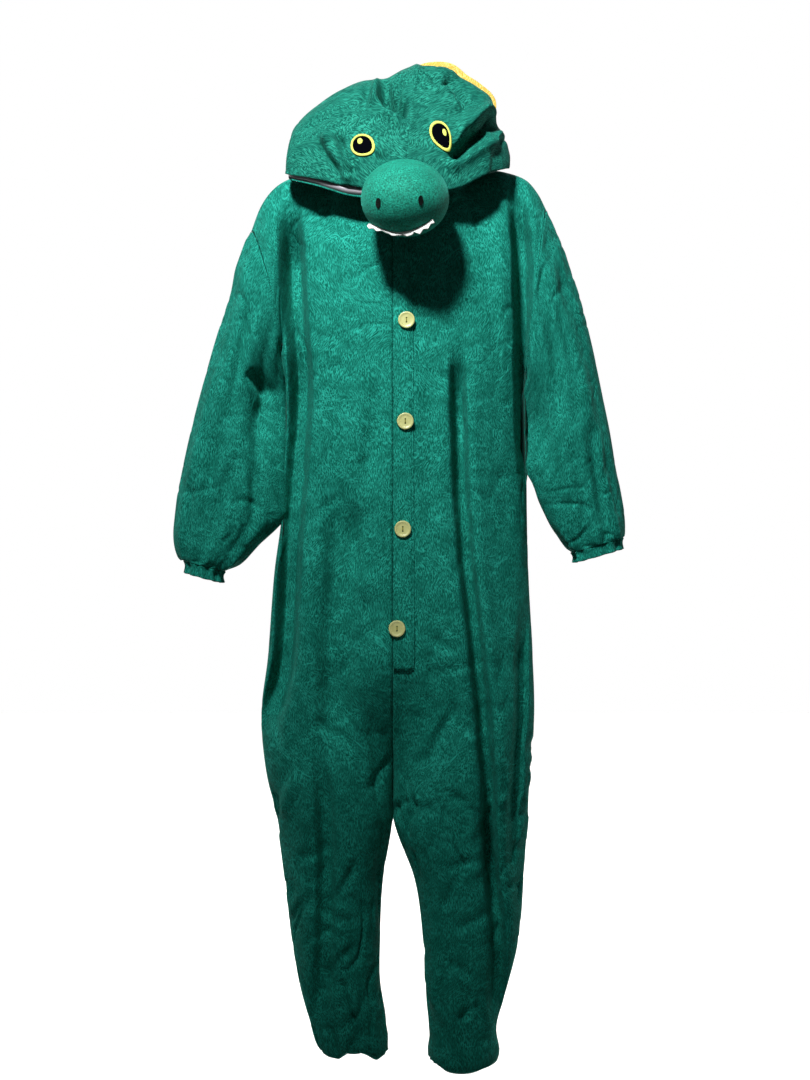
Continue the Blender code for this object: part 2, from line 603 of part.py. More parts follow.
def make_snout():
    mesh = bmesh.new()
    bmesh.ops.create_uvsphere(mesh, u_segments=20, v_segments=12, radius=1)
    for vertex in mesh.verts:
        place = [centre + half * part for centre, half, part in zip(SNOUT_CENTRE, SNOUT_HALF, vertex.co)]
        place[1] = min(place[1], SNOUT_BACK)
        place[2] += SNOUT_RISE * float(ease((place[1] - SNOUT_CENTRE[1] + 20) / 50))
        vertex.co = [length * MM for length in place]
    closed_mesh("snout", mesh, green_plush)
    for side, across, up in NOSTRILS:

        def surface(u, v, across=across, up=up):
            wide, high = disc(u, v)
            place = snout_front(across + NOSTRIL_HALF[0] * wide, up + NOSTRIL_HALF[1] * high)
            return place + np.array((0 * u, -NOSTRIL_OUT + 0 * u, 0 * u))

        steps = np.linspace(-DISC_STEPS, DISC_STEPS, 4)
        wall(f"nostril_{SIDE_NAMES[side]}", surface, steps, steps, 1, 1, dark_thread)
    shares = np.linspace(-1, 1, 4 * TEETH + 1)
    wall("teeth", tooth_strip, shares, (0, 0.35, 0.7, 1), FELT, 1, white_felt)


def make_crest():
    def surface(share, high):
        share, high = np.broadcast_arrays(np.asarray(share, float), np.asarray(high, float))
        row = CREST_ROW + 0 * share
        outward = normals(lambda u, v: hood(LEFT, u, v), share, row)
        swell = np.clip(np.sin((share - 0.01) / CREST_END * math.pi), 0, 1) ** 0.5
        tall = CREST_LOW + (CREST_HIGH - CREST_LOW) * swell
        return hood(LEFT, share, row) + outward * (tall * high - SEAM)

    shares = np.linspace(0.02, CREST_END, 13)
    wall("crest", surface, shares, np.linspace(0, 1, 4), CREST_THICK, -1, yellow_plush)


def on_placket(x, z):
    """Turn and row on the left front, for a place seen from the front."""
    rows = np.linspace(*PLACKET_ROWS, 200)
    heights = body(LEFT, 0.97, rows)[2]
    outer = np.interp(z, [line[0] for line in OUTLINE[LEFT]], [line[1] for line in OUTLINE[LEFT]])
    share = (x - CENTRE) / (outer - CENTRE)
    return math.acos(max(share, 0) ** (TORSO_SIDE / 2)) * 2 / math.pi, float(np.interp(z, heights, rows))


def make_placket():
    def raised(turn, row, height):
        x, y, z = folded_body(LEFT, turn, row)
        outward = -normals(lambda u, v: folded_body(LEFT, u, v), turn, row)
        return np.array((x + SEAM, y, z)) + outward * height

    turns = FRONT_NECK_TURNS[-2:]
    rows = [row for row in BODY_ROWS if PLACKET_ROWS[0] < row < PLACKET_ROWS[1]]
    wall("placket", lambda u, v: raised(u, v, PLUSH + 1.5 * SEAM), turns, rows, PLUSH, -1, green_plush)
    for number, (x, z) in enumerate(BUTTONS, 1):
        turn, row = on_placket(x, z)
        at = raised(np.array(turn), np.array(row), PLUSH + 3 * SEAM + BUTTON_THICK / 2)
        mesh = bmesh.new()
        size = BUTTON_RADIUS * MM
        bmesh.ops.create_cone(
            mesh, cap_ends=True, segments=24, radius1=size, radius2=size * 0.93, depth=BUTTON_THICK * MM
        )
        bmesh.ops.rotate(mesh, verts=mesh.verts, matrix=FACING)
        bmesh.ops.translate(mesh, verts=mesh.verts, vec=(x * MM, at[1] * MM, z * MM))
        closed_mesh(f"button_{number}", mesh, olive_plastic)


def make_lining():
    shares = np.linspace(0.22, 0.84, 8)
    wall("hood_lining_right", lambda u, v: lining(RIGHT, u, v), shares, (0, 0.5, 1), SATIN, 1, grey_satin)


for side in (RIGHT, LEFT):
    make_body(side)
    make_hem(side)
    make_sleeve(side)
    make_hood(side)
for eye in EYES:
    make_eye(*eye)
make_snout()
make_crest()
make_placket()
make_lining()
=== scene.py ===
"""A hooded dinosaur costume in short-pile plush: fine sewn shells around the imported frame.

The tables are in millimetres and follow the frame's own sections. X runs to the wearer's left, Y to
the back and Z up; "right" and "left" are the wearer's.
"""

import math

import bmesh
import bpy
import numpy as np
from mathutils import Matrix, Vector


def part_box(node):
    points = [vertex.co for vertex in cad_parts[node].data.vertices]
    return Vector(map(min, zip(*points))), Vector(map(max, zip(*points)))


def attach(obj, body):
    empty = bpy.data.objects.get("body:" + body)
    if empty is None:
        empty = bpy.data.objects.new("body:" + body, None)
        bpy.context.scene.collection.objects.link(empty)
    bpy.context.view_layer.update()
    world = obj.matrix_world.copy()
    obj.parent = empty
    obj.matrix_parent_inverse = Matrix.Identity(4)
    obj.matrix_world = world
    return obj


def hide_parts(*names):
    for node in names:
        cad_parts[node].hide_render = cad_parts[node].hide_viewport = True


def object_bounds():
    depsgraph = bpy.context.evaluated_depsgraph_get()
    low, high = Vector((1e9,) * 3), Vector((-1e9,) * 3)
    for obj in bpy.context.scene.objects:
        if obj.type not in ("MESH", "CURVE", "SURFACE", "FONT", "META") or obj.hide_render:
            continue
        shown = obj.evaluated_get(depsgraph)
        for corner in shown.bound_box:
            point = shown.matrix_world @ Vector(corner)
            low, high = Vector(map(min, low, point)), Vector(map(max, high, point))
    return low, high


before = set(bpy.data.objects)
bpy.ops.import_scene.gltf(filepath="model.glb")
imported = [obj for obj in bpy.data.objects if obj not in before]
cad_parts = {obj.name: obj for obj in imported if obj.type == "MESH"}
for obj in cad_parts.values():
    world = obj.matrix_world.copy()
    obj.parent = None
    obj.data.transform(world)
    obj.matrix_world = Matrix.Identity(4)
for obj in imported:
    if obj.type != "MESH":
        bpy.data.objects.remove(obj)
frame_low, frame_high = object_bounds()

MM = 0.001
SEAM = 0.3  # gap between two pieces that are sewn together
PLUSH = 2.6  # thickness of the plush with its pile
SATIN = 1.2
FELT = 2.2
RIGHT, LEFT = -1, 1
SIDE_NAMES = {RIGHT: "right", LEFT: "left"}

# The camera stands level, straight in front; one pixel of the photograph is 1.6 mm at the garment.
CAMERA_PLACE = (0.008, -3.2, -0.568)
CAMERA_LENS = 66.7

# Each lamp: name, place, size, power, spread in degrees and the point that it faces. The key is a narrow
# one above the camera that faces the chest, so it falls off down the legs. Three soft lamps behind keep
# the sides and the back readable.
LAMPS = (
    ("key", (-0.5, -1.75, 1.45), 0.3, 7.6, 43, (0, 0, -0.05)),
    ("back_soft", (0, 3.2, 1.7), 2, 70, 180, (0, 0, -0.5)),
    ("side_right_soft", (-2.9, 1.7, 0.7), 1.5, 26, 180, (0, 0.1, -0.6)),
    ("side_left_soft", (2.9, 1.7, 0.7), 1.5, 26, 180, (0, 0.1, -0.6)),
)
FLOOR_LIGHT = 3.5  # the sun-like lamp that lights the floor alone
ROOM_LIGHT = 0.065  # what the white room sends back on the garment; the room itself shows white
SEAM_SHOWN = 0.04  # gap that is left to see at a seam, where the pile closes over it

CROTCH = -1014
RISE = 280  # height over which the two fronts part into legs
CENTRE = -11  # x of the fastening
LEG_SIDE = 2.2  # roundness of a leg's section, 2 is an ellipse
TORSO_SIDE = 2.5

# Torso and legs, from the ankle up: height, outer edge, inner edge, front depth, back depth.
OUTLINE = {
    RIGHT: (
        (-1378, -121, -25, 46, 46),
        (-1362, -132, -24, 50, 50),
        (-1331, -146, -23, 55, 54),
        (-1266, -163, -32, 60, 58),
        (-1176, -176, -31, 66, 66),
        (-1100, -184, -26, 72, 76),
        (-1014, -196, -12, 86, 92),
        (-926, -214, CENTRE, 98, 102),
        (-845, -221, CENTRE, 104, 108),
        (-754, -211, CENTRE, 105, 107),
        (-621, -201, CENTRE, 103, 103),
        (-538, -190, CENTRE, 101, 100),
        (-450, -184, CENTRE, 100, 97),
        (-344, -181, CENTRE, 99, 94),
        (-270, -190, CENTRE, 96, 90),
    ),
    LEFT: (
        (-1398, 148, 50, 48, 48),
        (-1380, 154, 49, 51, 51),
        (-1340, 155, 46, 55, 54),
        (-1301, 166, 42, 58, 57),
        (-1208, 186, 38, 64, 65),
        (-1110, 197, 24, 72, 76),
        (-1014, 204, -10, 86, 92),
        (-926, 208, CENTRE, 98, 102),
        (-845, 212, CENTRE, 104, 108),
        (-754, 212, CENTRE, 105, 107),
        (-621, 205, CENTRE, 103, 103),
        (-538, 203, CENTRE, 101, 100),
        (-450, 202, CENTRE, 100, 97),
        (-344, 199, CENTRE, 99, 94),
        (-300, 202, CENTRE, 97, 90),
    ),
}

# Each shoulder: share of the way from the sleeve to the neck, x, z.
SHOULDER = {
    RIGHT: (
        (0, -238, -75), (0.2, -223, -36), (0.4, -204, -9),
        (0.62, -178, 8), (0.8, -140, 18), (1, -96, 22),
    ),
    LEFT: (
        (0, 234, -41), (0.2, 220, -14), (0.4, 200, 8),
        (0.62, 166, 20), (0.8, 132, 24), (1, 92, 24),
    ),
}
SHOULDER_SHARE = 0.52  # part of the top edge that is shoulder seam; the rest is neckline
NECK_FRONT = (-78, -62)  # y and z of the neckline at the fastening
NECK_BACK = (62, 8)
ARMHOLE_DEPTH = 62
ARMHOLE_INSET = {RIGHT: 12, LEFT: 6}
INSET_TURN, LIFT_TURN = 0.55, 0.4  # turns over which the armhole's inset and the chest's lift fade out
CHEST_ROUND, LIFT_ROUND = 0.8, 1.15  # how early the chest curves back, and how late it rises

# Deep folds hanging down the body: side, front or back, depth, half width, then x at each height.
BODY_FOLDS = (
    (
        RIGHT, 1, 28, 16,
        ((-850, -203), (-754, -183), (-664, -178), (-560, -172), (-340, -158), (-200, -166), (-69, -174)),
    ),
    (LEFT, 1, 18, 13, ((-480, 206), (-390, 199), (-290, 197), (-184, 194), (-30, 184))),
    (
        LEFT, 1, 16, 11,
        ((-1300, 152), (-1176, 152), (-1062, 142), (-896, 134), (-680, 112), (-480, 94), (-300, 90)),
    ),
    (LEFT, 1, 7, 9, ((-1050, 178), (-886, 186), (-754, 190), (-700, 194))),
    (RIGHT, 1, 10, 24, ((-880, -104), (-700, -98), (-600, -92), (-500, -94))),
    (RIGHT, 1, 10, 13, ((-1300, -124), (-1176, -118), (-1030, -116), (-920, -124))),
    (RIGHT, -1, 16, 16, ((-900, -150), (-700, -128), (-420, -112), (-200, -104))),
    (LEFT, -1, 16, 16, ((-940, 158), (-700, 132), (-440, 118), (-180, 106))),
    (RIGHT, -1, 11, 14, ((-1300, -96), (-1100, -98), (-980, -76), (-760, -60))),
    (LEFT, -1, 11, 14, ((-1300, 96), (-1120, 92), (-980, 66), (-800, 52))),
)
FOLD_FADE, FOLD_TURN = 70, 0.12  # height and turn over which a fold comes and goes
FOLD_DEEPER = 2.3  # the cloth's folds beside the solids' ones
FOLD_END, FOLD_PAST = 130, 0.4  # height over which a deep fold comes and goes; part of it past the end
FOLD_WANDER, WANDER_LONG = 3.5, 60  # how far a deep fold's middle wanders, and over what height
FOLD_LEAST, FOLD_VARIES, VARIES_LONG = 0.75, 0.5, 110  # its least depth, how much that varies, over what height
# A deep fold's section in half widths: where its right and its left wall start, and how wide each is.
RIGHT_WALL, LEFT_WALL = (1.45, 1.25), (1.5, 0.95)
FOLD_RIDGE, RIDGE_LEFT, RIDGE_RIGHT = 0.1, 2.2, 2.4  # the low ridges beside it
# Crumples get deeper from the hips down: cell, depth at the chest, depth added at the ankle, seed.
CRUMPLED_FROM, CRUMPLED_OVER = -640, 420
BODY_CRUMPLES = ((50, 2.2, 4.6, 0), (27, 1.5, 3.2, 7))
BODY_TURN = 200  # width that one turn of the body counts for in its crumples
SWELL_WIDE, SWELL_LONG, SWELL_DEEP, SWELL_LOW = 42, 120, 3.0, 6.0
SIDE_RIM, FRONT_RIM, TOP_RIM = 0.05, 0.04, 0.06  # turns and row over which the creases end before a seam
# How far the leg blouses out over its casing, curls in under it, and hangs below it in lobes.
HEM_FLARE, HEM_CURL, HEM_DROOP = 5, 9, 10
HEM_CURL_ROW = 0.007  # row below which it curls in
# Round each leg, from its outer side to its inner one: how much of the lobe hangs there.
HEM_LOBES = {
    RIGHT: ((0, 0.1), (0.2, 0.6), (0.34, 1.3), (0.48, 0.2), (0.62, 0.5), (0.78, 1.5), (1, 1.0)),
    LEFT: ((0, 0.2), (0.25, 0.9), (0.45, 1.4), (0.62, 1.3), (0.8, 0.7), (1, 0)),
}

# Sleeves, from the armhole down: outer x and z, inner x and z, depth.
SLEEVE_LEAN = {RIGHT: 17, LEFT: 14}  # how far the inner side of a sleeve leans on the torso
SLEEVE = {
    RIGHT: (
        (-238, -75, -190, -270, 124),
        (-251, -112, -193, -289, 122),
        (-266, -160, -195, -320, 118),
        (-285, -232, -196, -363, 116),
        (-312, -328, -196, -408, 114),
        (-330, -398, -196, -453, 112),
        (-346, -472, -195, -498, 110),
        (-355, -536, -198, -536, 106),
        (-357, -570, -222, -572, 98),
        (-352, -592, -252, -606, 88),
        (-345, -600, -280, -618, 78),
    ),
    LEFT: (
        (234, -41, 202, -300, 124),
        (250, -80, 206, -324, 122),
        (267, -123, 208, -349, 118),
        (286, -184, 208, -379, 116),
        (304, -256, 209, -414, 114),
        (319, -328, 212, -452, 112),
        (333, -395, 226, -480, 108),
        (346, -464, 238, -518, 102),
        (356, -520, 246, -552, 94),
        (358, -555, 262, -578, 86),
        (356, -564, 274, -588, 78),
    ),
}
CUFF = {
    RIGHT: ((-345, -600, -280, -618, 78), (-342, -609, -284, -626, 76), (-344, -620, -282, -636, 80)),
    LEFT: ((356, -564, 274, -588, 78), (354, -572, 278, -595, 76), (356, -582, 277, -604, 80)),
}
ARM_HOLLOW = {RIGHT: (-217, -350, 44, 66), LEFT: (216, -385, 36, 64)}  # x, z, depth, half height
HOLLOW_WIDE, HOLLOW_START = 24, 12  # its half width, and the y over which it starts
SLEEVE_SQUARE = 0.2  # how much squarer than round the sleeve is below the armhole
SLEEVE_CRUMPLES = ((46, 3.6, 0), (27, 2.6, 7))  # cell, depth, seed
SLEEVE_SWELL, SWELL_ROUND, SWELL_ROW = 9.0, 4, 0.13  # the sleeve's long folds: depth, and cells round and down
CUFF_GATHERS, CUFF_GATHER_DEPTH, SLEEVE_GATHER = 12, 2.2, 0.035
HEM_GATHERS, HEM_GATHER_DEPTH, HEM_ROW = 12, 0.048, 0.0135
HEM_LOW = 0.001  # the leg hangs over its casing down to this row

# The hood's crown line as seen from the front: share of the way from the seam to the ear, x, z.
HOOD_CROWN = {
    RIGHT: (
        (0, 26, 189), (0.08, 4, 181), (0.16, -22, 168), (0.28, -59, 164), (0.42, -94, 150),
        (0.56, -128, 127), (0.68, -155, 105), (0.78, -172, 82), (0.9, -178, 44), (1, -176, 16),
    ),
    LEFT: (
        (0, 26, 189), (0.1, 50, 190), (0.2, 78, 186), (0.3, 98, 169), (0.42, 122, 154),
        (0.54, 144, 136), (0.66, 150, 106), (0.78, 164, 80), (0.9, 174, 46), (1, 168, 27),
    ),
}
# The brim and the lip below it: share, brim z, forward depth, backward depth, slit between brim and lip.
HOOD_EDGE = {
    RIGHT: (
        (0, -30, 126, 110, 14), (0.28, -24, 123, 108, 20), (0.56, -8, 107, 98, 16),
        (0.78, 2, 82, 78, 12), (0.9, 8, 58, 56, 8), (1, 12, 34, 36, 5),
    ),
    LEFT: (
        (0, -30, 126, 110, 14), (0.3, -28, 122, 106, 16), (0.54, -2, 105, 96, 14),
        (0.78, 10, 80, 76, 12), (0.9, 16, 56, 56, 8), (1, 22, 34, 36, 5),
    ),
}
SEAM_LEAN = 20  # the centre seam runs this far towards the left between brim and crown
NECK_SHARE = 0.6  # part of the hood's lower edge that is sewn to the back neckline
BACK_TURN = 0.7  # how far round the back of the head turns in, of half a circle
CORNER_FORWARD, CORNER_BOW, CORNER_RISE = 0.9, 1.5, 13  # how the lower edge runs on to the front corner
# Troughs, and ridges where the depth is negative, on the hood's front: side, two ends as x and z, depth,
# half width.
HOOD_FOLDS = (
    (RIGHT, -24, 128, 8, 98, 24, 12),
    (LEFT, 81, 152, 104, 122, 22, 12),
    (LEFT, 142, 84, 88, 28, 24, 10),
    (LEFT, 158, 64, 84, 12, -9, 11),
    (LEFT, 134, 106, 96, 74, -8, 12),
    (RIGHT, -105, 42, -74, 0, 12, 8),
    (RIGHT, -116, 50, -78, -8, -8, 9),
)
HOOD_FOLDS_END, HOOD_FOLD_FADE, SEAM_FLAT = 1.15, 0.25, 0.06  # row they end at, its fade, share at the seam
HOOD_DEEPER, HOOD_CREASE = 1.3, 1.5  # the cloth's folds beside the solids' ones, and its creases as laid
ROLL_HIGH, ROLL_OFF, ROLL_WIDE = 0.3, 1.6, 0.6  # the roll beside each fold
EYE_CALM, CALM_FADE = 1.25, 0.7  # the creases end this far round an eye, in its half sizes
SEAM_RIDGE = 3.2  # how far the hood stands up beside its centre seam
CHIN_LIFT = 14
SNOUT_CENTRE, SNOUT_HALF = (8, -163, -55), (67, 74, 57)
LIP_ACROSS, LIP_FORWARD = 0.97, 0.95  # the lip's size beside the brim's
SNOUT_BACK, SNOUT_RISE = -126.5, 16  # its flat back, this much higher than its tip
SNOUT_ROUND = 12  # how far before its flat back the snout starts to turn in
LINING_GAP, LINING_ROW = 1.6, 0.035  # where the lining leaves the hood
LINING_BACK, LINING_UP = 6.5, 4  # its lower edge, from the lip
SLIT_SHOWN = {RIGHT: 0.85, LEFT: 0.25}  # how far the slit under the brim gapes
# Embroidered eyes: side, share and row on the hood, half sizes in share and row.
EYES = ((RIGHT, 0.245, 0.224, 0.066, 0.066), (LEFT, 0.185, 0.262, 0.064, 0.074))
NOSTRILS = ((RIGHT, -0.6, -0.2), (LEFT, 0.35, -0.16))
NOSTRIL_HALF, NOSTRIL_OUT = (0.055, 0.125), 1.6
PAD_THICK, STITCH_THICK = 1.8, 1.2  # an eye's pad, and the nostrils and glints
# The mouth line on the snout, in shares of its half sizes: its middle, then how far it runs and rises.
MOUTH_MIDDLE, MOUTH_WIDE, MOUTH_RISE = (-0.1, -0.9), 0.72, 0.32
TOOTH_LEAN, GUM_LONG = (0.35, -0.45, -0.8), 2.2  # the way they point, for each mm
# How far each felt point reaches, along the mouth from its right end: share of the mouth, mm.
TOOTH_POINTS = (
    (0, 2), (0.05, 8), (0.1, 2), (0.15, 6), (0.21, 1), (0.33, 1.5), (0.37, 4), (0.5, 4.5), (0.54, 2),
    (0.6, 8),
    (0.67, 7), (0.71, 2), (0.78, 9), (0.84, 3), (0.9, 8), (0.95, 2), (1, 5),
)
CREST_ROW, CREST_HIGH, CREST_THICK = 1.1, 16, 7
PLACKET_TURNS, PLACKET_ROWS = (0.94, 0.999), (0.572, 1.917)
BUTTON_RADIUS, BUTTON_THICK = 13, 4.2
BUTTONS = ((10.3, -227), (8.5, -384), (4.6, -551), (-4.4, -705))  # x and z of each

CREASE_DEEPER = 1.6  # the body's and the sleeves' creases as laid
CREASE_END = 0.3  # share of a crease over which it comes and goes
CREASE_RIDGE, CREASE_RIDGE_OFF = 0.35, 1.8  # the ridge on one side of it
# Creases laid on each piece: two ends as x and z, bow, depth, half width. A negative depth is a ridge.
CREASES = {
    "front_left": (
        (13, -306, 88, -322, 3, 2.2, 4), (62, -330, 150, -352, -6, 1.6, 6),
        (40, -690, 104, -684, 4, 2.0, 5), (44, -716, 96, -738, -5, 2.2, 6),
        (60, -250, 52, -560, -10, 2.6, 18), (152, -180, 160, -620, 12, 3.0, 20),
        (40, -760, 84, -860, 10, 3.4, 9), (96, -820, 40, -930, -8, 3.0, 8),
        (60, -960, 120, -1000, 7, 3.0, 7), (170, -980, 110, -1060, -8, 3.0, 7),
        (64, -1090, 136, -1070, 6, 3.0, 7), (80, -1180, 150, -1140, -7, 3.4, 7),
        (176, -1150, 128, -1210, 6, 2.6, 6), (66, -1230, 122, -1270, 6, 3.0, 6),
        (140, -1300, 84, -1330, -6, 3.0, 6),
    ),
    "front_right": (
        (-145, -321, -81, -298, 4, 2.4, 5), (-81, -456, -35, -434, -3, 2.0, 5),
        (-46, -279, -27, -281, 0, 1.4, 3), (-46, -281, -44, -309, 1, 1.4, 3),
        (-150, -560, -92, -500, 8, 2.2, 8), (-36, -300, -58, -500, 10, 5.0, 17),
        (-58, -500, -50, -640, -6, 6.5, 20), (-52, -630, -88, -800, 8, 5.5, 19),
        (-34, -380, -28, -610, 3, -2.5, 12), (-132, -620, -108, -900, 8, 4.0, 16),
        (-150, -925, -184, -1010, -6, -4.0, 10), (-150, -850, -60, -900, 8, 3.0, 8),
        (-52, -820, -30, -980, 6, 3.2, 9), (-168, -1080, -96, -1050, 8, 3.2, 7),
        (-150, -1130, -60, -1168, -9, 3.6, 7), (-66, -1060, -112, -1140, 6, 3.0, 7),
        (-158, -1210, -92, -1180, 6, 3.0, 6), (-60, -1200, -116, -1260, -7, 3.2, 7),
        (-140, -1290, -70, -1268, 5, 3.0, 6), (-52, -1290, -100, -1340, 6, 2.8, 6),
    ),
    "back_right": (
        (-150, -300, -40, -330, 6, 2.4, 7), (-60, -420, -96, -640, 10, 5.0, 18),
        (-40, -700, -110, -860, 8, 4.5, 14), (-160, -980, -70, -1010, 8, 3.2, 8),
        (-140, -1110, -60, -1080, 8, 3.4, 8), (-70, -1180, -140, -1230, 7, 3.0, 7),
        (-130, -1300, -60, -1280, 5, 3.0, 6),
    ),
    "back_left": (
        (150, -320, 40, -300, 6, 2.4, 7), (60, -450, 88, -660, -10, 5.0, 18),
        (36, -760, 110, -880, -8, 4.5, 14), (170, -960, 80, -1020, -8, 3.2, 8),
        (70, -1090, 150, -1120, 8, 3.4, 8), (160, -1190, 80, -1240, 7, 3.0, 7),
        (70, -1300, 140, -1320, 5, 3.0, 6),
    ),
    "sleeve_right": (
        (-262, -130, -300, -330, 10, 4.5, 13), (-232, -180, -262, -420, -8, 5.0, 12),
        (-296, -380, -322, -590, 6, 6.0, 11), (-256, -430, -300, -596, -6, 6.5, 11),
        (-228, -440, -232, -560, 4, 4.5, 9), (-330, -470, -340, -580, 2, 3.5, 8),
        (-244, -300, -206, -350, 6, 6.0, 10),
    ),
    "sleeve_left": (
        (256, -110, 292, -330, -8, 4.5, 13), (304, -344, 334, -568, -6, 6.0, 11),
        (262, -400, 302, -560, 6, 6.0, 11), (234, -210, 246, -400, 5, 4.5, 11),
        (322, -420, 346, -540, 3, 3.5, 8),
    ),
    "hood_right": (
        (-118, 72, -66, -6, -5, -9.0, 9), (-101, 66, -62, 4, -3, 10.0, 6),
        (-131, 62, -80, -12, -5, 5.0, 5), (-150, 60, -100, 96, 8, 3.0, 9),
        (-96, 132, -40, 104, -8, 3.5, 10), (-36, 166, -42, 108, 3, -7.0, 7),
        (-26, 158, -20, 108, -3, 13.0, 8), (-30, 112, 10, 98, -3, 9.0, 7),
        (0, 160, -8, 120, 3, 6.0, 5), (-52, 150, -64, 84, 4, 4.0, 8),
        (-60, 30, -16, 12, 4, 5.0, 8),
    ),
    "hood_left": (
        (60, 60, 100, 20, 4, 4.5, 8), (40, 168, 108, 132, -6, 8.0, 8),
        (62, 138, 118, 118, 4, -5.0, 8), (152, 108, 108, 60, -4, -6.0, 8),
        (156, 76, 84, 18, 3, 8.0, 6), (172, 74, 150, 46, -2, 7.0, 7),
        (44, 150, 60, 110, 5, 3.0, 9),
    ),
}

NAP_LENGTH, NAP_WIDTH = 0.0066, 0.0014  # one lock of pile that lies over, in metres
LATTICE_CELLS = 64


def read(table, at):
    """The columns of a table at values of its first one, along smooth curves through its rows."""
    rows = np.array(table, float)
    keys = rows[:, 0]
    at = np.clip(at, keys[0], keys[-1])
    low = np.clip(np.searchsorted(keys, at, side="right") - 1, 0, len(keys) - 2)
    high = low + 1
    before, after = np.maximum(low - 1, 0), np.minimum(high + 1, len(keys) - 1)
    span = (keys[high] - keys[low])[..., None]
    t = (at - keys[low])[..., None] / span
    start, end = rows[low, 1:], rows[high, 1:]
    leaving = (end - rows[before, 1:]) / (keys[high] - keys[before])[..., None] * span
    coming = (rows[after, 1:] - start) / (keys[after] - keys[low])[..., None] * span
    curve = start + t * leaving + t**2 * (3 * (end - start) - 2 * leaving - coming)
    curve += t**3 * (2 * (start - end) + leaving + coming)
    return np.moveaxis(curve, -1, 0)


def ease(t):
    t = np.clip(t, 0, 1)
    return t * t * (3 - 2 * t)


def signed_power(value, power):
    return np.sign(value) * np.abs(value) ** power


def rounded(angle, roundness):
    """Cosine and sine of a rounded rectangle; a roundness of 2 is a circle."""
    power = 2 / roundness
    return signed_power(np.cos(angle), power), signed_power(np.sin(angle), power)


def lattice(x, y, seed):
    """Smooth noise between 0 and 1, one cell to a unit."""
    table = np.random.default_rng(seed).random((LATTICE_CELLS, LATTICE_CELLS))
    column, row = np.floor(x).astype(int), np.floor(y).astype(int)
    right, up = ease(x - column), ease(y - row)
    column, row = column % LATTICE_CELLS, row % LATTICE_CELLS
    next_column, next_row = (column + 1) % LATTICE_CELLS, (row + 1) % LATTICE_CELLS
    low = table[row, column] * (1 - right) + table[row, next_column] * right
    high = table[next_row, column] * (1 - right) + table[next_row, next_column] * right
    return low * (1 - up) + high * up


def crumple(x, y, cell, seed):
    """Short sharp troughs, 0 to 1, along the wandering level lines of a noise; cell is in mm."""
    bend_scale, bend, squat, patch_scale, patch_sharp, patch_cut, narrow = 0.7, 1.4, 0.8, 0.6, 2.6, 0.9, 0.07
    bend_x = lattice(x / cell * bend_scale, y / cell * bend_scale, seed + 1) - 0.5
    bend_y = lattice(x / cell * bend_scale, y / cell * bend_scale, seed + 2) - 0.5
    height = lattice(x / cell + bend * bend_x, y / cell * squat + bend * bend_y, seed)
    shown = ease(lattice(x / cell * patch_scale, y / cell * patch_scale, seed + 3) * patch_sharp - patch_cut)
    return np.exp(-(((height - 0.5) / narrow) ** 2)) * shown


def torso_and_leg(side, turn, height):
    """A point of the body below the armholes. Turn is 0 at the side seam, 1 at the front, -1 at the back."""
    outer, inner, front, back = read(OUTLINE[side], height)
    inner = np.where(height > CROTCH, CENTRE, CENTRE + side * np.maximum(side * (inner - CENTRE), 0))
    depth = np.where(turn > 0, front, back)
    across, out = rounded(turn * math.pi / 2, TORSO_SIDE)
    torso = inner + (outer - inner) * across, -depth * out
    around, out = rounded(turn * math.pi, LEG_SIDE)
    leg = (outer + inner) / 2 + (outer - inner) / 2 * around, -depth * out
    whole = ease((height - CROTCH) / RISE)
    x = leg[0] + (torso[0] - leg[0]) * whole
    y = leg[1] + (torso[1] - leg[1]) * whole
    return np.array((x, y, height + 0 * turn))


def top_edge(side, turn):
    """The shoulder seam, then the neckline down to the fastening or the nape."""
    share = np.abs(turn)
    x, z = read(SHOULDER[side], share / SHOULDER_SHARE)
    neck_x, neck_z = SHOULDER[side][-1][1:]
    y_end = np.where(turn > 0, NECK_FRONT[0], NECK_BACK[0])
    z_end = np.where(turn > 0, NECK_FRONT[1], NECK_BACK[1])
    angle = np.clip((share - SHOULDER_SHARE) / (1 - SHOULDER_SHARE), 0, 1.1) * math.pi / 2
    on_neck = share > SHOULDER_SHARE
    x = np.where(on_neck, CENTRE + (neck_x - CENTRE) * np.cos(angle), x)
    y = np.where(on_neck, y_end * np.sin(angle), 0)
    z = np.where(on_neck, neck_z + (z_end - neck_z) * np.sin(angle) ** 2, z)
    return x, y, z


def chest_and_shoulder(side, turn, rise):
    """A point between the underarm, rise 0, and the shoulder seam and neckline, rise 1."""
    underarm = OUTLINE[side][-1][0]
    low_x, low_y, low_z = torso_and_leg(side, turn, underarm + 0 * turn)
    top_x, top_y, top_z = top_edge(side, turn)
    share = np.abs(turn)
    swing = (1 - np.cos(math.pi * rise)) / 2
    fade = np.clip(1 - share / INSET_TURN, 0, 1) ** 2
    bulge = ARMHOLE_DEPTH * np.sin(math.pi * rise) * (1 - share)
    x = low_x + (top_x - low_x) * swing - side * ARMHOLE_INSET[side] * np.sin(math.pi * rise) * fade
    path = top_y + (low_y - top_y) * np.cos(rise * math.pi / 2) ** CHEST_ROUND
    facing = np.where(turn > 0, -1, 1)
    y = facing * (np.abs(path) ** 3 + bulge**3) ** (1 / 3)
    lift = np.sin(rise * math.pi / 2) ** LIFT_ROUND
    z = underarm + (top_z - underarm) * (swing + (lift - swing) * ease(share / LIFT_TURN))
    return np.array((x, y, z))


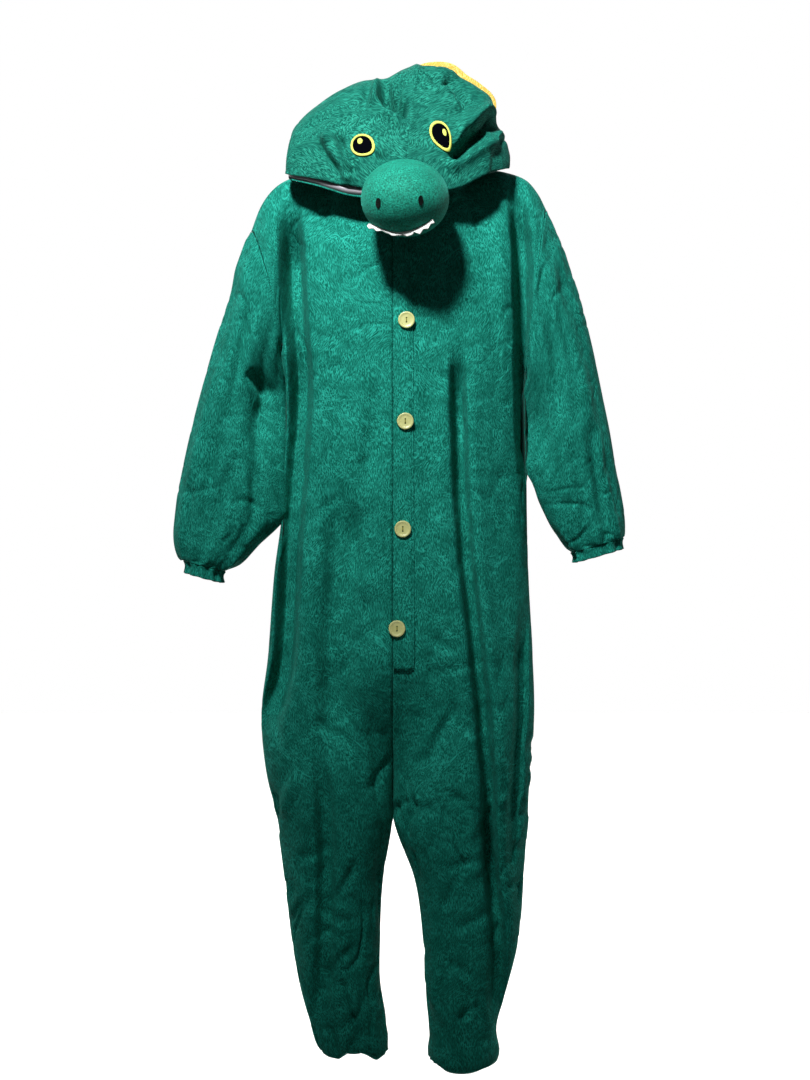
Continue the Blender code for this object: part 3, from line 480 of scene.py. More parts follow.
def body(side, turn, row):
    """Row runs from 0 at the ankle to 1 at the underarm and 2 at the shoulder."""
    turn, row = np.broadcast_arrays(np.asarray(turn, float), np.asarray(row, float))
    over = (row > 2) & (np.abs(turn) < SHOULDER_SHARE)
    turn, row = np.where(over, -turn, turn), np.where(over, 4 - row, row)
    ankle, underarm = OUTLINE[side][0][0], OUTLINE[side][-1][0]
    height = ankle + (underarm - ankle) * np.clip(row, 0, 1)
    low = torso_and_leg(side, turn, height)
    high = chest_and_shoulder(side, turn, np.clip(row - 1, 0, 1))
    return np.where(row > 1, high, low)


def fold_depth(side, turn, place):
    """How deep the hanging folds of a half are at a place on it."""
    x, y, z = place
    depth = 0 * x
    for fold_side, face, deep, half_width, path in BODY_FOLDS:
        if fold_side != side:
            continue
        on_face = ease(face * turn / FOLD_TURN)
        middle = read(path, z)[0]
        inside = ease((z - path[0][0]) / FOLD_FADE + 0.5) * ease((path[-1][0] - z) / FOLD_FADE + 0.5)
        depth = depth + deep * on_face * inside * np.exp(-(((x - middle) / half_width) ** 2))
    return depth


def normals(surface, u, v, step=0.004):
    along = surface(u + step, v) - surface(u - step, v)
    up = surface(u, v + step) - surface(u, v - step)
    normal = np.cross(along, up, axis=0)
    return normal / np.maximum(np.linalg.norm(normal, axis=0), 1e-9)


def deep_fold(side, turn, place):
    """The hanging folds, deeper than the solids carry them: each falls in over a wide wall on its right and
    comes out over a steeper one on its left."""
    x, y, z = place
    depth = 0 * x
    for fold_side, face, deep, half_width, path in BODY_FOLDS:
        if fold_side != side:
            continue
        on_face = ease(face * turn / FOLD_TURN)
        middle = read(path, z)[0]
        wander = FOLD_WANDER * (lattice(z / WANDER_LONG, 0 * z + half_width, 91) - 0.5)
        inside = ease((z - path[0][0]) / FOLD_END + FOLD_PAST) * ease((path[-1][0] - z) / FOLD_END + FOLD_PAST)
        off = (x - middle - wander) / half_width
        uneven = FOLD_LEAST + FOLD_VARIES * lattice(z / VARIES_LONG, 0 * z + deep, 92)
        trough = ease((off + RIGHT_WALL[0]) / RIGHT_WALL[1]) * ease((LEFT_WALL[0] - off) / LEFT_WALL[1])
        ridge = FOLD_RIDGE * (np.exp(-((off - RIDGE_LEFT) ** 2)) + np.exp(-((off + RIDGE_RIGHT) ** 2)))
        depth = depth + deep * FOLD_DEEPER * uneven * on_face * inside * (trough - ridge)
    return depth


def crease_depth(piece, place):
    """How deep the laid creases of a piece are at a place on it."""
    x, y, z = place
    depth = 0 * x
    for x1, z1, x2, z2, bow, deep, half_width in CREASES[piece]:
        length = math.hypot(x2 - x1, z2 - z1)
        along = ((x - x1) * (x2 - x1) + (z - z1) * (z2 - z1)) / length**2
        off = ((x - x1) * (z2 - z1) - (z - z1) * (x2 - x1)) / length
        off = (off + bow * 4 * along * (1 - along)) / half_width
        inside = ease(along / CREASE_END) * ease((1 - along) / CREASE_END)
        ridge = CREASE_RIDGE * np.exp(-((off - CREASE_RIDGE_OFF) ** 2))
        depth = depth + deep * inside * (np.exp(-(off**2)) - ridge)
    return depth


def body_cloth(side, turn, row):
    """The body with its folds, creases and crumples."""
    turn, row = np.broadcast_arrays(np.asarray(turn, float), np.asarray(row, float))
    place = body(side, turn, row)
    inward = side * normals(lambda u, v: body(side, u, v), turn, row)
    face = "front" if turn.mean() > 0 else "back"
    piece = f"{face}_{SIDE_NAMES[side]}"
    seed = abs(10 * side + (5 if face == "front" else 30))
    x, y, z = place
    around = turn * BODY_TURN
    low = ease((CRUMPLED_FROM - z) / CRUMPLED_OVER)
    small = 0 * z
    for cell, deep, deeper, more in BODY_CRUMPLES:
        small = small + (deep + deeper * low) * crumple(around, z, cell, seed + more)
    swell = lattice(around / SWELL_WIDE, z / SWELL_LONG, seed + 13) - 0.5
    small = small + (SWELL_DEEP + SWELL_LOW * low) * swell
    rim = ease((1 - np.abs(turn)) / SIDE_RIM) * ease(np.abs(turn) / FRONT_RIM) * ease((2 - row) / TOP_RIM)
    curl = HEM_CURL * ease((HEM_CURL_ROW - row) / HEM_CURL_ROW)
    flare = HEM_FLARE * ease((3 * HEM_ROW - row) / (2 * HEM_ROW)) - curl
    place = place + inward * ((CREASE_DEEPER * crease_depth(piece, place) + small) * rim - flare)
    back = deep_fold(side, turn, (x, y, z)) * np.where(turn > 0, 1, -1)
    lobe = ease((4 * HEM_ROW - row) / (4 * HEM_ROW)) ** 2
    droop = HEM_DROOP * read(HEM_LOBES[side], np.abs(turn))[0] * lobe
    return place + np.array((0 * x, back, -droop))


def plain_body(side, turn, row):
    turn, row = np.broadcast_arrays(np.asarray(turn, float), np.asarray(row, float))
    place = body(side, turn, row)
    inward = side * normals(lambda u, v: body(side, u, v), turn, row)
    return place + inward * fold_depth(side, turn, place)


def sleeve(side, table, turn, row):
    """Turn is -1 to 1 round the sleeve, 0 at its outer side; row counts the table's rows."""
    numbered = [(number, *values) for number, values in enumerate(table)]
    turn, row = np.broadcast_arrays(np.asarray(turn, float), np.asarray(row, float))
    outer_x, outer_z, inner_x, inner_z, depth = read(numbered, row)
    angle = turn * math.pi
    across, out = rounded(angle, 2 + SLEEVE_SQUARE * ease(row / 2))
    x = (outer_x + inner_x) / 2 + (outer_x - inner_x) / 2 * across
    z = (outer_z + inner_z) / 2 + (outer_z - inner_z) / 2 * across
    return np.array((x, -depth / 2 * out, z))


def plain_sleeve(side, turn, row):
    turn, row = np.broadcast_arrays(np.asarray(turn, float), np.asarray(row, float))
    x, y, z = sleeve(side, SLEEVE[side], turn, row)
    joined = np.clip(1 - row / 2, 0, 1)
    x = x + side * (3 * SEAM - ARMHOLE_INSET[side] * np.abs(np.sin(turn * math.pi)) * joined)
    hollow_x, hollow_z, deep, high = ARM_HOLLOW[side]
    near = np.exp(-(((x - hollow_x) / HOLLOW_WIDE) ** 2) - ((z - hollow_z) / high) ** 2)
    y = y + deep * near * ease(-y / HOLLOW_START) * ease(row / 2)
    last = len(SLEEVE[side]) - 1
    pleat = 1 + SLEEVE_GATHER * np.cos(turn * math.pi * CUFF_GATHERS) * ease((row - last + 3) / 3)
    return np.array((x, y * pleat, z))


def sleeve_cloth(side, turn, row):
    """The sleeve with its creases, which run down into the gathers of the casing."""
    turn, row = np.broadcast_arrays(np.asarray(turn, float), np.asarray(row, float))
    place = plain_sleeve(side, turn, row)
    inward = -side * normals(lambda u, v: plain_sleeve(side, u, v), turn, row)
    x, y, z = place
    last = len(SLEEVE[side]) - 1
    joined = ease(row / 0.5) * ease((last - row) / 0.4)
    around = x + 0.8 * y
    seed = 50 + side
    small = 0 * z
    for cell, deep, more in SLEEVE_CRUMPLES:
        small = small + deep * crumple(around, z, cell, seed + more)
    small = small * (0.3 + 0.7 * np.abs(np.sin(turn * math.pi)))
    # The long folds are read on a ring in the noise, so that they meet where the sleeve closes.
    ring_x = np.cos(turn * math.pi) * SWELL_ROUND + 9
    ring_y = np.sin(turn * math.pi) * SWELL_ROUND + row * SWELL_ROW + 9
    long_folds = SLEEVE_SWELL * (lattice(ring_x, ring_y, seed + 13) - 0.5)
    inner_side = ease(np.abs(turn) / 0.3 - 2.3)
    creases = CREASE_DEEPER * crease_depth(f"sleeve_{SIDE_NAMES[side]}", (x, y, z))
    depth = creases + (small + long_folds) * (1 - 0.85 * inner_side)
    lean = SLEEVE_LEAN[side] * inner_side * ease(row / 2) * ease((last - 1.5 - row) / 2)
    return place + inward * depth * joined - np.array((side * lean, 0 * x, 0 * x))


def cuff(side, turn, row):
    x, y, z = sleeve(side, CUFF[side], turn, row)
    angle = np.asarray(turn) * math.pi
    pleat = CUFF_GATHER_DEPTH * np.cos(angle * CUFF_GATHERS)
    return np.array((x + pleat * np.cos(angle) * side, y - pleat * np.sin(angle), z))


def hood(side, share, row):
    """A point of a hood half. Share is 0 at the centre seam; row is 0 at the brim, 1 at the crown and 2 at
    the neck."""
    share, row = np.broadcast_arrays(np.asarray(share, float), np.asarray(row, float))
    crown_x, crown_z = read(HOOD_CROWN[side], share)
    brim_z, front, back = read(HOOD_EDGE[side], share)[:3]
    angle = np.clip(row, -0.1, 1) * math.pi / 2
    front_x = crown_x - SEAM_LEAN * (1 - np.sin(angle)) * (1 - share)
    front_place = np.array((front_x, -front * np.cos(angle), brim_z + (crown_z - brim_z) * np.sin(angle)))
    down = np.clip(row - 1, 0, 1.1)
    on_neck = np.clip(share / NECK_SHARE, 0, 1)
    neck_x, neck_y, neck_z = top_edge(side, -1 + (1 - SHOULDER_SHARE) * on_neck)
    over = np.clip((share - NECK_SHARE) / (1 - NECK_SHARE), 0, 1)
    end_x, end_z = HOOD_CROWN[side][-1][1:]
    neck_x = neck_x + (end_x - neck_x) * over
    neck_y = neck_y - front * CORNER_FORWARD * over**CORNER_BOW
    neck_z = neck_z + 5 * SEAM + (end_z - 2 - neck_z) * over + CORNER_RISE * np.sin(over * math.pi)
    turned = math.pi * BACK_TURN
    back_y = back * np.sin(turned * down) + (neck_y - back * math.sin(turned)) * down**2
    back_z = crown_z - (crown_z - neck_z) * (1 - np.cos(down * math.pi / 2))
    back_place = np.array((crown_x + (neck_x - crown_x) * ease(down), back_y, back_z))
    return np.where(row > 1, back_place, front_place)


def hood_cloth(side, share, row, fine=True):
    share, row = np.broadcast_arrays(np.asarray(share, float), np.asarray(row, float))
    place = hood(side, share, row)
    inward = -side * normals(lambda u, v: hood(side, u, v), share, row)
    depth = fine_depth = 0 * share
    for fold_side, x1, z1, x2, z2, deep, half_width in HOOD_FOLDS:
        if fold_side != side:
            continue
        length = math.hypot(x2 - x1, z2 - z1)
        along = ((place[0] - x1) * (x2 - x1) + (place[2] - z1) * (z2 - z1)) / length**2
        off = ((place[0] - x1) * (z2 - z1) - (place[2] - z1) * (x2 - x1)) / length
        past = np.maximum(np.abs(along - 0.5) - 0.5, 0) * length
        ending = np.exp(-((past / half_width) ** 2))
        groove = np.exp(-((off / half_width) ** 2))
        roll = ROLL_HIGH * np.exp(-((off / half_width - ROLL_OFF) ** 2) / ROLL_WIDE)
        rolled = HOOD_DEEPER * (groove - roll)
        depth = depth + deep * groove * ending
        fine_depth = fine_depth + deep * rolled * ending
    on_front = ease((HOOD_FOLDS_END - row) / HOOD_FOLD_FADE)
    depth, fine_depth = depth * on_front, fine_depth * on_front
    calm = 1 + 0 * share
    for eye_side, eye_share, eye_row, half_share, half_row in EYES:
        if eye_side == side:
            away = np.hypot((share - eye_share) / half_share, (row - eye_row) / half_row)
            calm = calm * ease((away - EYE_CALM) / CALM_FADE)
    if fine:
        seed = 80 + side
        x, y, z = place
        swell = 3.0 * (lattice(x / 34, (z + y) / 34, seed + 13) - 0.5)
        small = 1.2 * crumple(x * 1.3, z + 1.3 * y, 40, seed) + swell
        creases = HOOD_CREASE * crease_depth(f"hood_{SIDE_NAMES[side]}", place) * on_front
        small = creases + small * ease(row / 0.08)
        depth = depth * (1 - calm) + (fine_depth + small) * calm
        ridge = SEAM_RIDGE * np.exp(-((share / 0.03) ** 2)) * ease(row / 0.1) * on_front
        return place + inward * depth * ease(share / SEAM_FLAT) + np.array((0 * x, -0.8 * ridge, 0.6 * ridge))
    return place + inward * depth * ease(share / SEAM_FLAT)


def lip(side, share):
    """The edge of the chin, just under the brim."""
    x, y, z = hood(side, share, 0 * share)
    slit = read(HOOD_EDGE[side], share)[3] * SLIT_SHOWN[side]
    return np.array((x * LIP_ACROSS, y * LIP_FORWARD, z - slit))


def chin(side, along, up):
    """From the neckline, up 0, to the lip, up 1. Along runs from the shoulder to the fastening."""
    along, up = np.broadcast_arrays(np.asarray(along, float), np.asarray(up, float))
    low = np.array(top_edge(side, SHOULDER_SHARE + (1 - SHOULDER_SHARE) * along))
    high = lip(side, 1 - along)
    x, y, z = low + (high - low) * up
    peak = 6.75  # brings the top of the curve that follows to 1
    lift = CHIN_LIFT * peak * up * (1 - up) ** 2 * (0.6 + 0.4 * along)
    middle = CENTRE + side * (SEAM / 2 + 0.4 * up)
    x = np.where(side * x < side * middle, middle, x)
    return np.array((x, y - 2 * SEAM, z + 7 * SEAM + lift))


def lining(side, share, drop):
    """The satin behind the slit: it leaves the inside of the brim and ends above the chin."""
    share, drop = np.broadcast_arrays(np.asarray(share, float), np.asarray(drop, float))
    edge = LINING_ROW + 0 * share
    outward = side * normals(lambda u, v: hood(side, u, v), share, edge)
    top = hood(side, share, edge) - outward * (PLUSH + LINING_GAP)
    bottom = lip(side, share) + np.array((0 * share, LINING_BACK + 0 * share, LINING_UP + 0 * share))
    x, y, z = top + (bottom - top) * drop
    roll = (2 + 3 * ease((0.66 - share) / 0.25)) * np.sin(np.clip((drop - 0.4) / 0.6, 0, 1) * math.pi)
    return np.array((x, y - roll + 1.2 * np.sin(share * 60) * drop * (1 - drop), z))


def snout_front(across, up):
    """A point on the front of the snout, at shares of its half width and half height."""
    forward = np.sqrt(np.maximum(1 - across**2 - up**2, 0))
    x, y, z = SNOUT_CENTRE
    wide, deep, high = SNOUT_HALF
    return np.array((x + wide * across, y - deep * forward, z + high * up))


def tooth_strip(share, out):
    """The felt strip along the mouth, share -1 to 1; its points hang down and forward, each its own way."""
    share, out = np.broadcast_arrays(np.asarray(share, float), np.asarray(out, float))
    middle_across, middle_up = MOUTH_MIDDLE
    base = snout_front(middle_across + MOUTH_WIDE * share, middle_up + MOUTH_RISE * share**2)
    points = np.array(TOOTH_POINTS, float)
    long = (GUM_LONG + np.interp((share + 1) / 2, points[:, 0], points[:, 1])) * out
    lean_x, lean_y, lean_z = TOOTH_LEAN
    curl = 2.5 * np.sin(share * 7 + 0.6) * out**2
    tip = share * lean_x * long, lean_y * long - SEAM + curl, lean_z * long - SEAM + 0.6 * curl
    return base + np.array(tip)


def disc(across, up):
    """A square of points from -1 to 1 drawn round into a disc."""
    return across * np.sqrt(1 - up**2 / 2), up * np.sqrt(1 - across**2 / 2)


def linear(code):
    """An sRGB hex colour as linear red, green, blue and alpha."""
    parts = [int(code[at : at + 2], 16) / 255 for at in (1, 3, 5)]
    return (*[part / 12.92 if part <= 0.04045 else ((part + 0.055) / 1.055) ** 2.4 for part in parts], 1)


def set_inputs(tree, node, inputs):
    """Gives each input a value, or a socket to be linked from."""
    for name, value in inputs.items():
        if isinstance(value, bpy.types.NodeSocket):
            tree.links.new(value, node.inputs[name])
        else:
            node.inputs[name].default_value = value


def add_node(tree, kind, inputs=None, **settings):
    made = tree.nodes.new(kind)
    for name, value in settings.items():
        setattr(made, name, value)
    set_inputs(tree, made, inputs or {})
    return made


def new_material(name, laid=False):
    """A material, its nodes and the place that its pattern follows: along the laid cloth, or in the object."""
    made = bpy.data.materials.new(name)
    made.use_nodes = True
    tree = made.node_tree
    if laid:
        return made, tree, add_node(tree, "ShaderNodeUVMap", uv_map="cloth").outputs["UV"]
    return made, tree, add_node(tree, "ShaderNodeTexCoord").outputs["Object"]


def finish_surface(tree, colours, amount, relief, inputs):
    """The end that the materials share: one colour, or two mixed by an amount, and a relief as its height,
    strength and depth."""
    colour = linear(colours[0])
    if amount is not None:
        both = {0: amount, 6: colour, 7: linear(colours[1])}
        colour = add_node(tree, "ShaderNodeMix", both, data_type="RGBA").outputs[2]
    shader = tree.nodes["Principled BSDF"]
    set_inputs(tree, shader, {"Base Color": colour, **inputs})
    if relief is not None:
        height, strength, deep = relief
        bump = add_node(tree, "ShaderNodeBump", {"Height": height, "Strength": strength, "Distance": deep})
        set_inputs(tree, shader, {"Normal": bump.outputs[0]})


def plush(
    name, shade, light, tint, nap_length=NAP_LENGTH, nap_width=NAP_WIDTH, sway=0.022, lie=0.0, painted_wrinkle_glint=0.9
):
    """Printed short-pile polyester plush. Its hairs lie over along the cloth and swirl in patches, with
    light tips and dark gaps between them, and the pile gives a soft sheen where the cloth turns away. Thin
    bright lines in patches are painted highlights of fine wrinkles."""
    made, tree, place = new_material(name, laid=True)
    flat = {"noise_dimensions": "2D"}
    # The swirl shears the hairs' own coordinates, so that their lie wanders over about 50 mm.
    swirl = add_node(tree, "ShaderNodeTexNoise", {"Vector": place, "Scale": 20, "Detail": 1}, **flat)
    middle = {0: swirl.outputs["Color"], 1: (0.5, 0.5, 0.5)}
    centred = add_node(tree, "ShaderNodeVectorMath", middle, operation="SUBTRACT")
    shift = add_node(tree, "ShaderNodeVectorMath", {0: centred.outputs[0], "Scale": sway}, operation="SCALE")
    brushed = add_node(tree, "ShaderNodeVectorMath", {0: place, 1: shift.outputs[0]}, operation="ADD").outputs[0]
    hairs = []
    for size, low, high, offset in ((1, 0.43, 0.66, 0), (0.62, 0.5, 0.68, 3)):
        combed = add_node(
            tree,
            "ShaderNodeMapping",
            {
                "Vector": brushed, "Location": (offset, offset, 0), "Rotation": (0, 0, lie),
                "Scale": (nap_width * size, nap_length * size, 1),
            },
            vector_type="TEXTURE",
        )
        strand = {"Vector": combed.outputs[0], "Scale": 1, "Detail": 1, "Distortion": 0.2}
        strands = add_node(tree, "ShaderNodeTexNoise", strand, **flat)
        tips = add_node(
            tree, "ShaderNodeMapRange", {"Value": strands.outputs["Fac"], "From Min": low, "From Max": high},
            interpolation_type="SMOOTHSTEP",
        )
        hairs.append(tips.outputs[0])
    both = add_node(tree, "ShaderNodeMath", {0: hairs[0], 1: hairs[1]}, operation="ADD")
    tuft = add_node(tree, "ShaderNodeTexNoise", {"Vector": brushed, "Scale": 45, "Detail": 3}, **flat)
    worn = add_node(
        tree, "ShaderNodeMapRange",
        {"Value": tuft.outputs["Fac"], "From Min": 0.32, "From Max": 0.68, "To Min": 0.32, "To Max": 0.8},
    )
    nap = add_node(tree, "ShaderNodeMath", {0: both.outputs[0], 1: worn.outputs[0]}, operation="MULTIPLY")
    # Painted highlights: thin bright lines in patches are painted into the colour where light would catch fine
    # wrinkles; they also go into the bump.
    painted_glint_noise = add_node(
        tree, "ShaderNodeTexNoise", {"Vector": place, "Scale": 22, "Detail": 3, "Distortion": 1.2}, **flat
    )
    off_line = add_node(tree, "ShaderNodeMath", {0: painted_glint_noise.outputs["Fac"], 1: 0.5}, operation="SUBTRACT")
    near_line = add_node(tree, "ShaderNodeMath", {0: off_line.outputs[0]}, operation="ABSOLUTE")
    line = add_node(
        tree, "ShaderNodeMapRange",
        {"Value": near_line.outputs[0], "From Min": 0, "From Max": 0.018, "To Min": painted_wrinkle_glint, "To Max": 0},
    )
    patches = add_node(tree, "ShaderNodeTexNoise", {"Vector": place, "Scale": 11, "Detail": 1}, **flat)
    shown = {"Value": patches.outputs["Fac"], "From Min": 0.46, "From Max": 0.6}
    patch = add_node(tree, "ShaderNodeMapRange", shown)
    painted_glint_lines = add_node(tree, "ShaderNodeMath", {0: line.outputs[0], 1: patch.outputs[0]}, operation="MULTIPLY")
    total = add_node(tree, "ShaderNodeMath", {0: nap.outputs[0], 1: painted_glint_lines.outputs[0]}, operation="ADD")
    amount = total.outputs[0]
    finish_surface(tree, (shade, light), amount, (amount, 0.5, 0.0008), {
        "Roughness": 0.85, "Specular IOR Level": 0.1,
        "Sheen Weight": 0.08, "Sheen Roughness": 0.4, "Sheen Tint": linear(tint),
    })
    return made


def knit_back(name, colour):
    """The back of a fleece: a plain fine knit, matt, with faint courses 1.5 mm apart."""
    made, tree, place = new_material(name, laid=True)
    courses = add_node(
        tree, "ShaderNodeTexWave", {"Vector": place, "Scale": 210, "Distortion": 1.5}, bands_direction="Y"
    )
    finish_surface(tree, (colour,), None, (courses.outputs["Fac"], 0.3, 0.0004), {"Roughness": 0.95})
    return made


def fine_plush(name, shade, light, tint):
    """Very short velboa pile, as on stuffed toys: an even grain about 2 mm wide."""
    made, tree, place = new_material(name)
    grain = add_node(tree, "ShaderNodeTexNoise", {"Vector": place, "Scale": 420, "Detail": 3, "Roughness": 0.6})
    patch = add_node(tree, "ShaderNodeTexNoise", {"Vector": place, "Scale": 60, "Detail": 2})
    grain_cut = {"Value": grain.outputs["Fac"], "From Min": 0.34, "From Max": 0.68}
    tips = add_node(tree, "ShaderNodeMapRange", grain_cut)
    brushed = add_node(
        tree, "ShaderNodeMapRange",
        {"Value": patch.outputs["Fac"], "From Min": 0.3, "From Max": 0.7, "To Min": 0.7, "To Max": 1.1},
    )
    amount = add_node(tree, "ShaderNodeMath", {0: tips.outputs[0], 1: brushed.outputs[0]}, operation="MULTIPLY")
    finish_surface(tree, (shade, light), amount.outputs[0], (tips.outputs[0], 0.5, 0.0006), {
        "Roughness": 0.8, "Specular IOR Level": 0.2,
        "Sheen Weight": 0.25, "Sheen Roughness": 0.35, "Sheen Tint": linear(tint),
    })
    return made


def embroidery(name, colour, shade, pitch=0.0009, roughness=0.45, gloss=0.08):
    """Rayon thread in satin stitch: fine parallel threads with a silky gloss."""
    made, tree, place = new_material(name)
    period = 0.314  # of the wave texture at a scale of 1
    threads = add_node(
        tree,
        "ShaderNodeTexWave",
        {"Vector": place, "Scale": period / pitch, "Distortion": 1.2, "Detail": 1, "Detail Scale": 0.5},
        bands_direction="DIAGONAL",
    ).outputs["Fac"]
    look = {"Roughness": roughness, "Specular IOR Level": gloss}
    finish_surface(tree, (shade, colour), threads, (threads, 0.5, 0.0003), look)
    return made


def satin(name, colour):
    """Polyester lining satin: smooth, with long soft highlights across its weave."""
    made, tree, place = new_material(name, laid=True)
    weave = add_node(
        tree, "ShaderNodeTexWave", {"Vector": place, "Scale": 500, "Distortion": 0.6}, bands_direction="X"
    )
    look = {"Roughness": 0.32, "Anisotropic": 0.4, "Sheen Weight": 0.15}
    finish_surface(tree, (colour,), None, (weave.outputs["Fac"], 0.12, 0.0002), look)
    return made


def felt(name, colour, shade):
    """Pressed wool-like felt: matt, with short fibres that lie every way."""
    made, tree, place = new_material(name)
    fibres = add_node(
        tree, "ShaderNodeTexNoise", {"Vector": place, "Scale": 900, "Detail": 4, "Distortion": 1.5}
    ).outputs["Fac"]
    finish_surface(tree, (shade, colour), fibres, (fibres, 0.4, 0.0004), {"Roughness": 0.95})
    return made


def button_plastic(name, colour, shade):
    """Cast polyester button: faintly clouded, rubbed to a low gloss."""
    made, tree, place = new_material(name)
    cloud = add_node(tree, "ShaderNodeTexNoise", {"Vector": place, "Scale": 120, "Detail": 3})
    scuffs = add_node(tree, "ShaderNodeTexNoise", {"Vector": place, "Scale": 700, "Detail": 2})
    rubbed = {"Value": scuffs.outputs["Fac"], "To Min": 0.28, "To Max": 0.5}
    gloss = add_node(tree, "ShaderNodeMapRange", rubbed)
    finish_surface(tree, (shade, colour), cloud.outputs["Fac"], None, {"Roughness": gloss.outputs[0]})
    return made


def studio_paint(name, colour, light):
    """A seamless pale studio floor, matt, with a hardly visible mottle."""
    made, tree, place = new_material(name)
    mottle = add_node(tree, "ShaderNodeTexNoise", {"Vector": place, "Scale": 3, "Detail": 2})
    finish_surface(tree, (colour, light), mottle.outputs["Fac"], None, {"Roughness": 0.9})
    return made


def place_object(name, mesh, finishes, slot, *nodes):
    """Makes the piece's object, which rides on the garment's one body and stands for its CAD nodes."""
    data = bpy.data.meshes.new(name)
    mesh.to_mesh(data)
    mesh.free()
    for finish in finishes:
        data.materials.append(finish)
    data.shade_smooth()
    piece = bpy.data.objects.new(name, data)
    bpy.context.scene.collection.objects.link(piece)
    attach(piece, "root")
    if nodes:
        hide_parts(*nodes)
    return piece


def thicken(piece, thick):
    """Gives a piece its thickness, inwards from the face that was laid."""
    wall = piece.modifiers.new("thickness", "SOLIDIFY")
    wall.thickness = thick * MM
    wall.offset = -1
    return wall


def laid_grid(surface, across, up, cells, outward, closed=False):
    """A grid laid on a section function, with a UV map in metres that follows the cloth; then its widest row,
    its longest column and its area, in metres."""
    columns, rows = cells
    mesh = bmesh.new()
    bmesh.ops.create_grid(mesh, x_segments=columns, y_segments=rows, size=0.5)
    flat = np.array([vertex.co[:2] for vertex in mesh.verts]) + 0.5
    u = across[0] + (across[1] - across[0]) * flat[:, 0]
    v = up[0] + (up[1] - up[0]) * flat[:, 1]
    place = surface(u, v)
    column, row = np.rint(flat * (columns, rows)).astype(int).T
    ordered = np.zeros((rows + 1, columns + 1, 3))
    ordered[row, column] = place.T
    widths = np.linalg.norm(np.diff(ordered, axis=1), axis=2)
    lengths = np.linalg.norm(np.diff(ordered, axis=0), axis=2)
    run = np.concatenate([np.zeros((rows + 1, 1)), np.cumsum(widths, axis=1)], axis=1)
    climb = np.concatenate([[0], np.cumsum(lengths.mean(axis=1))])
    middle = run[:, -1:] / 2
    along, rise = (run - middle)[row, column] * MM, climb[row] * MM
    for vertex, point in zip(mesh.verts, place.T * MM):
        vertex.co = point
    layer = mesh.loops.layers.uv.new("cloth")
    for face in mesh.faces:
        for corner in face.loops:
            at = corner.vert.index
            corner[layer].uv = along[at], rise[at]
    if outward < 0:
        bmesh.ops.reverse_faces(mesh, faces=mesh.faces)
    if closed:
        bmesh.ops.remove_doubles(mesh, verts=mesh.verts, dist=1e-6)
    quads = (widths[:-1] + widths[1:]) * (lengths[:, :-1] + lengths[:, 1:]) / 4
    size = run[:, -1].max() * MM, lengths.sum(axis=0).max() * MM, quads.sum() * MM * MM
    return mesh, size


def sew(name, surface, across, up, cells, thick, outward, finishes, slot, closed=False):
    """One sewn piece: its outer face laid on its section function, and its thickness inwards."""
    mesh, (width, length, area) = laid_grid(surface, across, up, cells, outward, closed)
    piece = place_object(name, mesh, finishes, slot, name.replace("_cloth", ""))
    wall = thicken(piece, thick)
    if len(finishes) > 1:
        wall.material_offset = 1
    return piece


camera_data = bpy.data.cameras.new("camera")
camera_data.lens = CAMERA_LENS
camera = bpy.data.objects.new("camera", camera_data)
camera.location = CAMERA_PLACE
camera.rotation_euler = (math.pi / 2, 0, 0)
bpy.context.scene.collection.objects.link(camera)
bpy.context.scene.camera = camera
bpy.context.scene.view_settings.view_transform = "Standard"

BODY_PLUSH = plush("short_pile_plush", "#005648", "#26A390", "#3FB4A2")
# The hood's painted wrinkle highlights are fainter than the body's.
HOOD_PLUSH = plush(
    "brushed_hood_plush", "#00443A", "#258A76", "#4FC4B2",
    nap_length=0.009, nap_width=0.0015, sway=0.024, lie=-1.05, painted_wrinkle_glint=0.2,
)
KNIT = knit_back("fleece_knit_back", "#0A3F36")
SNOUT_PLUSH = fine_plush("velboa_pile", "#005040", "#1D9C84", "#3FB4A2")
YELLOW_PLUSH = plush("yellow_pile_plush", "#BE9A3A", "#EEDB84", "#FFF0A0", nap_length=0.006)
SATIN_CLOTH = satin("lining_satin", "#98949C")
WHITE_FELT = felt("pressed_felt", "#F1F1EE", "#C9C9C6")
PUPIL_THREAD = embroidery("navy_black_thread", "#010208", "#000002", roughness=0.8, gloss=0.02)
RIM_THREAD = embroidery("yellow_green_thread", "#DDE27A", "#A9AE3A")
NOSTRIL_THREAD = embroidery("black_thread", "#06120F", "#010403")
BUTTON_PLASTIC = button_plastic("cast_polyester", "#C9CB8E", "#A8AA66")
SEWING_THREAD = embroidery("sewing_thread", "#8B8A3E", "#5E5D22", pitch=0.0006)

CLOTH = (BODY_PLUSH, KNIT)
HOOD_CLOTH = (HOOD_PLUSH, KNIT)

